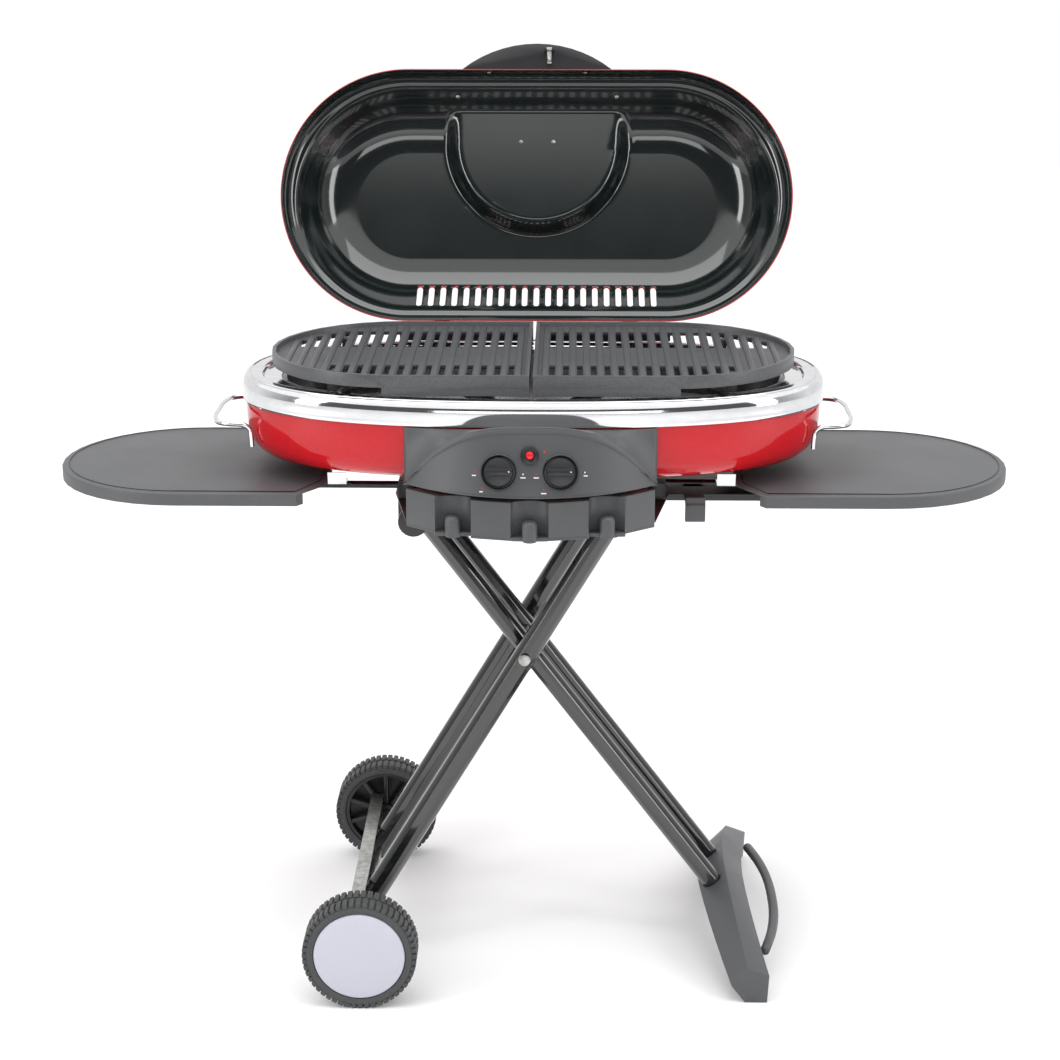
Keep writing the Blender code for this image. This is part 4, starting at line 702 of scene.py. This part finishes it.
# %% Side tables
TABLE_ROUND = 0.0042
LIP_INSET = 0.0085
LIP_WIDTH = 0.0022
LIP_HEIGHT = 0.0010
END_STEPS = 32
for side, sign in (("left", -1), ("right", 1)):
    node = f"side_table_{side}"
    low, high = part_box(node)
    table_bm = copied_part(node)
    top = high.z
    round_edges(table_bm, TABLE_ROUND, 4, 50, only=lambda e: all(abs(v.co.z - top) < 1e-5 for v in e.verts))
    finish_piece(f"moulded_{node}", table_bm, f"table_{side}", TABLE_PLASTIC, "table_plastic", [node], 40)
    tip = max(abs(low.x), abs(high.x))
    inner = min(abs(low.x), abs(high.x))
    reach, radius = tip - (high.y - low.y) / 2, (high.y - low.y) / 2 - LIP_INSET
    outline = [(inner + 0.010, -radius + 0.047), (inner + 0.034, -radius)]
    outline += [(reach + radius * math.sin(a), -radius * math.cos(a)) for a in
                (math.pi * i / END_STEPS for i in range(END_STEPS + 1))]
    outline += [(inner + 0.034, radius), (inner + 0.010, radius - 0.047)]
    ring = [Vector((sign * x, y + MIDDLE_Y, top + 0.0002)) for x, y in outline]
    lip = bmesh.new()
    verts = [lip.verts.new(point) for point in ring]
    face = lip.faces.new(verts)
    bmesh.ops.inset_region(lip, faces=[face], thickness=LIP_WIDTH, use_boundary=True, use_even_offset=True)
    bmesh.ops.delete(lip, geom=[face], context="FACES_ONLY")
    raised = bmesh.ops.extrude_face_region(lip, geom=lip.faces[:])["geom"]
    bmesh.ops.translate(lip, vec=(0, 0, LIP_HEIGHT), verts=points_of(raised))
    bmesh.ops.recalc_face_normals(lip, faces=lip.faces)
    round_edges(lip, 0.0004, 2, 60)
    finish_piece(f"table_lip_{side}", lip, f"table_{side}", TABLE_PLASTIC, "table_plastic")

# %% [markdown]
# ## Control panel and tool rack
# The panel is a bowed moulding. Its face leans back, and an arched bead runs over the knobs from one
# lower corner to the other. Above the bead the surface turns back to meet the bowl.

# %% Panel
panel_low, panel_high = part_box("control_panel")
PANEL_HALF = panel_high.x
PANEL_BOTTOM = panel_low.z
PANEL_FRONT = MIDDLE_Y - panel_low.y
PANEL_LEAN = math.radians(17)
ARCH_RISE = 0.0755
PANEL_SHEET = 0.0022


def body_depth(x):
    return BODY_HALF_DEPTH * (1 - (abs(x) / BODY_HALF_LENGTH) ** SQUARENESS) ** (1 / SQUARENESS)


BOW_DROP = PANEL_FRONT - body_depth(PANEL_HALF) - 0.013
BOW_RADIUS = (PANEL_HALF ** 2 + BOW_DROP ** 2) / (2 * BOW_DROP)


def bow(x):
    return PANEL_FRONT - (BOW_RADIUS - math.sqrt(BOW_RADIUS ** 2 - x ** 2))


def face_y(x, z):
    return -(bow(x) - (z - PANEL_BOTTOM) * math.tan(PANEL_LEAN))


def panel_place(u, v):
    """Up the face to the arch, over its bead, and back to the bowl."""
    x = PANEL_HALF * (2 * u - 1)
    arch = PANEL_BOTTOM + ARCH_RISE - (ARCH_RISE - 0.003) * abs(2 * u - 1) ** 2.8
    top = BAND_BOTTOM - 0.0014
    bead = 0.0042 * min(1.0, (arch - PANEL_BOTTOM) / 0.012)
    stops = [(-bow(x) + 0.010, PANEL_BOTTOM), (-bow(x) + 0.0012, PANEL_BOTTOM), (-bow(x), PANEL_BOTTOM + 0.0008)]
    for share in (0.15, 0.35, 0.55, 0.75):
        z = PANEL_BOTTOM + share * (arch - PANEL_BOTTOM)
        stops.append((face_y(x, z), z))
    for back, forward in ((1.6, 0.0), (1.2, 0.4), (0.6, 0.55), (0.0, 0.42), (-0.5, 0.0)):
        z = arch - back * bead
        stops.append((face_y(x, z) - forward * bead * 0.6, z))
    ridge_y, ridge_z = stops[-1]
    for share in (0.25, 0.5, 0.75, 1.0):
        back_y = ridge_y + share * (-body_depth(x) + 0.0004 - ridge_y)
        stops.append((back_y, ridge_z + share * (top - ridge_z)))
    y, z = along([(a, b, 0) for a, b in stops], v)[:2]
    return Vector((x, y + MIDDLE_Y, z))


panel_bm = bent_grid(96, 60, panel_place, (0, MIDDLE_Y, 0.66))
panel = finish_piece("moulded_panel", panel_bm, "grill_top", PANEL_PLASTIC, "panel_plastic",
                     ["control_panel"], 60)
sheet(panel, PANEL_SHEET, even=False)

# %% [markdown]
# Each knob sits in a dark round well, and plain dots and dashes round it stand for its marks. A white
# dot near the edge of each knob turns with it and shows which way it points.

# %% Knob wells and marks
PANEL_OUT = Vector((0, -math.cos(PANEL_LEAN), math.sin(PANEL_LEAN)))
TURN_OUT = Matrix((Vector((1, 0, 0)), PANEL_OUT.cross(Vector((1, 0, 0))), PANEL_OUT)).transposed().to_4x4()


def on_panel(x, z, lift=0.0):
    return Vector((x, face_y(x, z) + MIDDLE_Y, z)) + PANEL_OUT * lift


def turned_ring(bm, centre, turn, profile, segments=48):
    """A ring or disc spun from a profile of radius and height about the turned Z axis."""
    made = bmesh.new()
    verts = [made.verts.new((radius, 0, height)) for radius, height in profile]
    edges = [made.edges.new(pair) for pair in zip(verts, verts[1:])]
    bmesh.ops.spin(made, geom=verts + edges, cent=(0, 0, 0), axis=(0, 0, 1), angle=2 * math.pi, steps=segments,
                   use_merge=True)
    bmesh.ops.remove_doubles(made, verts=made.verts, dist=1e-6)
    bmesh.ops.recalc_face_normals(made, faces=made.faces)
    bmesh.ops.transform(made, matrix=Matrix.Translation(centre) @ turn, verts=made.verts)
    scratch = bpy.data.meshes.new("scratch")
    made.to_mesh(scratch)
    made.free()
    bm.from_mesh(scratch)
    bpy.data.meshes.remove(scratch)


DOT_REACH = 0.0118
DOT_RADIUS = 0.0009
WELL_PROFILE = [(0.0070, -0.0016), (0.0070, 0.0006), (0.0180, 0.0006), (0.0186, 0.0034), (0.0196, 0.0042),
                (0.0206, 0.0034), (0.0212, -0.0030), (0.0070, -0.0030), (0.0070, -0.0016)]
wells = bmesh.new()
KNOB_SPOTS = [Vector(JOINTS[f"knob_{side}_turn"]["pos_m"]) for side in ("left", "right")]
for spot in KNOB_SPOTS:
    turned_ring(wells, spot, TURN_OUT, WELL_PROFILE)
finish_piece("knob_wells", wells, "grill_top", BLACK_PLASTIC, "black_plastic")
marks = {"WHITE": bmesh.new(), "RED": bmesh.new()}


def mark(colour, x, z, width, height):
    centre = on_panel(x, z, 0.0002)
    place = Matrix.Translation(centre) @ TURN_OUT @ Matrix.Diagonal((width, height, 0.0004, 1))
    bmesh.ops.create_cube(marks[colour], size=1, matrix=place)


for spot in KNOB_SPOTS:
    for dx, dz in ((-0.0275, -0.003), (-0.019, -0.020), (0.0275, -0.003)):
        mark("WHITE", spot.x + dx, spot.z + dz - 0.002, 0.0060, 0.0014)
        mark("RED" if dx < 0 else "WHITE", spot.x + dx, spot.z + dz + 0.0018, 0.0016, 0.0016)
mark("RED", 0.0165, middle_of("igniter_button").z + 0.0035, 0.0022, 0.0030)
for side, spot in zip(("left", "right"), KNOB_SPOTS):
    knob = NODES[f"knob_{side}"].data.vertices
    crest = max((v.co - spot).dot(PANEL_OUT) for v in knob)
    dot = bmesh.new()
    turned_ring(dot, spot + PANEL_OUT * crest + Vector((DOT_REACH, 0, 0)), TURN_OUT,
                [(0.0, 0.0004), (DOT_RADIUS * 0.7, 0.0003), (DOT_RADIUS, -0.0002), (0.0, -0.0002)], 12)
    finish_piece(f"knob_dot_{side}", dot, f"knob_{side}", WHITE_PRINT, "ceramic")
finish_piece("white_marks", marks["WHITE"], "grill_top", WHITE_PRINT, "ceramic")
finish_piece("red_marks", marks["RED"], "grill_top", RED_PRINT, "red_plastic")

# %% [markdown]
# The rack below the panel is a thick bowed block. Three rounded notches are cut into its front, and
# in each stands a round peg for a hanging tool. Its outline is drawn with the notches in it.

# %% Tool rack
rack_low, rack_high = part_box("tool_rack")
NOTCH_RADIUS = 0.0215
NOTCH_SPOTS = [-0.0885, 0.0, 0.0885]
NOTCH_DEPTH = 0.0125
NOTCH_STEPS = 10
FLOOR_THICKNESS = 0.0035
PEG_HEIGHT = 0.0245
PEG_PROFILE = [(0.0, 0.0), (0.0082, 0.0), (0.0088, 0.0010), (0.0088, PEG_HEIGHT - 0.006),
               (0.0080, PEG_HEIGHT - 0.0028), (0.0062, PEG_HEIGHT - 0.0008), (0.0035, PEG_HEIGHT),
               (0.0, PEG_HEIGHT)]


def rack_outline(notched):
    half = rack_high.x
    points = [(-half, rack_high.y - MIDDLE_Y)]
    edges = [-half]
    for x in NOTCH_SPOTS:
        edges += [x - NOTCH_RADIUS, x + NOTCH_RADIUS]
    edges.append(half)
    for i in range(0, len(edges), 2):
        for x in (edges[i], edges[i + 1]):
            points.append((x, -bow(x)))
        if i + 2 < len(edges):
            spot = NOTCH_SPOTS[i // 2]
            depth = NOTCH_DEPTH if notched else -0.002
            for k in range(1, NOTCH_STEPS):
                angle = math.pi * k / NOTCH_STEPS
                points.append((spot - NOTCH_RADIUS * math.cos(angle),
                               -bow(spot) + 0.001 + depth * math.sin(angle)))
    points.append((half, rack_high.y - MIDDLE_Y))
    return points


rack_bm = slab(rack_outline(True), rack_low.z + FLOOR_THICKNESS, rack_high.z)
round_edges(rack_bm, 0.0016, 3, 25)
bmesh.ops.transform(rack_bm, matrix=TO_PLACE, verts=rack_bm.verts)
finish_piece("rack_block", rack_bm, "grill_top", PANEL_PLASTIC, "panel_plastic", ["tool_rack"], 40)
base_outline = [(x, min(y + 0.002, rack_high.y - MIDDLE_Y)) for x, y in rack_outline(False)]
base_bm = slab(base_outline, rack_low.z, rack_low.z + FLOOR_THICKNESS + 0.001)
round_edges(base_bm, 0.0012, 2, 25)
bmesh.ops.transform(base_bm, matrix=TO_PLACE, verts=base_bm.verts)
finish_piece("rack_floor", base_bm, "grill_top", PANEL_PLASTIC, "panel_plastic")
pegs = bmesh.new()
for x in NOTCH_SPOTS:
    centre = Vector((x, -bow(x) + 0.0015 + MIDDLE_Y, rack_low.z))
    turned_ring(pegs, centre, Matrix.Identity(4), PEG_PROFILE, 28)
finish_piece("rack_pegs", pegs, "grill_top", PANEL_PLASTIC, "panel_plastic")

# %% [markdown]
# ## Legs
# The legs are oval steel tubes in gloss black paint, open at the top. Along each runs a soft flat
# where the tube was rolled, which gives the paint its long straight reflections.

# %% Legs
for node in ("wheel_leg_front", "wheel_leg_rear", "foot_leg_front", "foot_leg_rear"):
    refine(node, GLOSS_BLACK, 0, 50)

# %% [markdown]
# ## Wheels
# The tyres are moulded with a block tread: two rows of lugs round the shoulder. A pale cap covers the
# outside, and the inside shows the hub's spokes.

# %% Wheels
LUGS = 52
TYRE_BORE = 0.0562
SPOKES = 10
for place, sign in (("front", -1), ("rear", 1)):
    body = f"wheel_{place}"
    low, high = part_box(f"tyre_{place}")
    centre = (low + high) / 2
    outer, half_width = (high.z - low.z) / 2, (high.y - low.y) / 2
    turn = Matrix.Rotation(math.radians(-90 * sign), 4, "X")
    tyre = bmesh.new()
    half_profile = [(TYRE_BORE, half_width - 0.0012), (TYRE_BORE + 0.002, half_width - 0.0002),
                    (outer - 0.0060, half_width - 0.0006), (outer - 0.0032, half_width - 0.0046),
                    (outer - 0.0026, half_width - 0.0080)]
    other_half = [(reach, -height) for reach, height in reversed(half_profile)]
    turned_ring(tyre, centre, turn, half_profile + other_half + half_profile[:1], 96)
    for row, shift in ((-1, 0.0), (1, 0.5)):
        for i in range(LUGS):
            angle = 2 * math.pi * (i + shift) / LUGS
            size = Matrix.Diagonal((0.0062, half_width * 0.86, 0.0058, 1))
            spin = Matrix.Rotation(angle, 4, "Y")
            lug = Matrix.Translation((0, row * half_width * 0.52, outer - 0.0030))
            lug_place = Matrix.Translation(centre) @ spin @ lug @ size
            made = bmesh.ops.create_cube(tyre, size=1, matrix=lug_place)["verts"]
            edges = list({e for v in made for e in v.link_edges})
            bmesh.ops.bevel(tyre, geom=edges, offset=0.0008, segments=1, profile=0.5, affect="EDGES",
                            material=-1)
    finish_piece(f"treaded_tyre_{place}", tyre, body, TYRE_RUBBER, "tyre_rubber", [f"tyre_{place}"], 40)
    cap_low, cap_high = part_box(f"hub_cap_{place}")
    cap_radius = (cap_high.z - cap_low.z) / 2
    cap = bmesh.new()
    face = (cap_high.y - cap_low.y) / 2
    cap_profile = [(0.0, -face), (cap_radius - 0.001, -face), (cap_radius, -face + 0.001),
                   (cap_radius, face - 0.0016), (cap_radius - 0.0008, face - 0.0008),
                   (cap_radius - 0.0022, face - 0.0004), (cap_radius * 0.6, face - 0.0001), (0.0, face)]
    turned_ring(cap, (cap_low + cap_high) / 2, turn, cap_profile, 96)
    finish_piece(f"domed_cap_{place}", cap, body, PALE_PLASTIC, "pale_plastic", [f"hub_cap_{place}"], 50)
    refine(f"wheel_hub_{place}", BLACK_PLASTIC, 0.0006)
    spokes = bmesh.new()
    inner_face = centre.y - sign * half_width
    for i in range(SPOKES):
        angle = 2 * math.pi * i / SPOKES
        spin = Matrix.Rotation(angle, 4, "Y")
        lift = Matrix.Translation((0, sign * 0.0100, 0.0310))
        size = Matrix.Diagonal((0.0060, 0.0130, 0.0415, 1))
        place_at = Matrix.Translation((centre.x, inner_face, centre.z))
        bmesh.ops.create_cube(spokes, size=1, matrix=place_at @ spin @ lift @ size)
    round_edges(spokes, 0.0012, 2, 60)
    finish_piece(f"hub_spokes_{place}", spokes, body, BLACK_PLASTIC, "black_plastic")

# %% [markdown]
# ## Foot
# The foot is a long grey moulding that the legs plug into. When the grill is folded, its bowed bar is
# the handle that pulls it along.

# %% Foot
foot_bm = copied_part("foot_bar")
round_edges(foot_bm, 0.0030, 3, 25)
finish_piece("moulded_foot", foot_bm, "foot_frame", FOOT_PLASTIC, "grey_plastic", ["foot_bar"], 50)
refine("pull_grip", FOOT_PLASTIC, 0, 80)
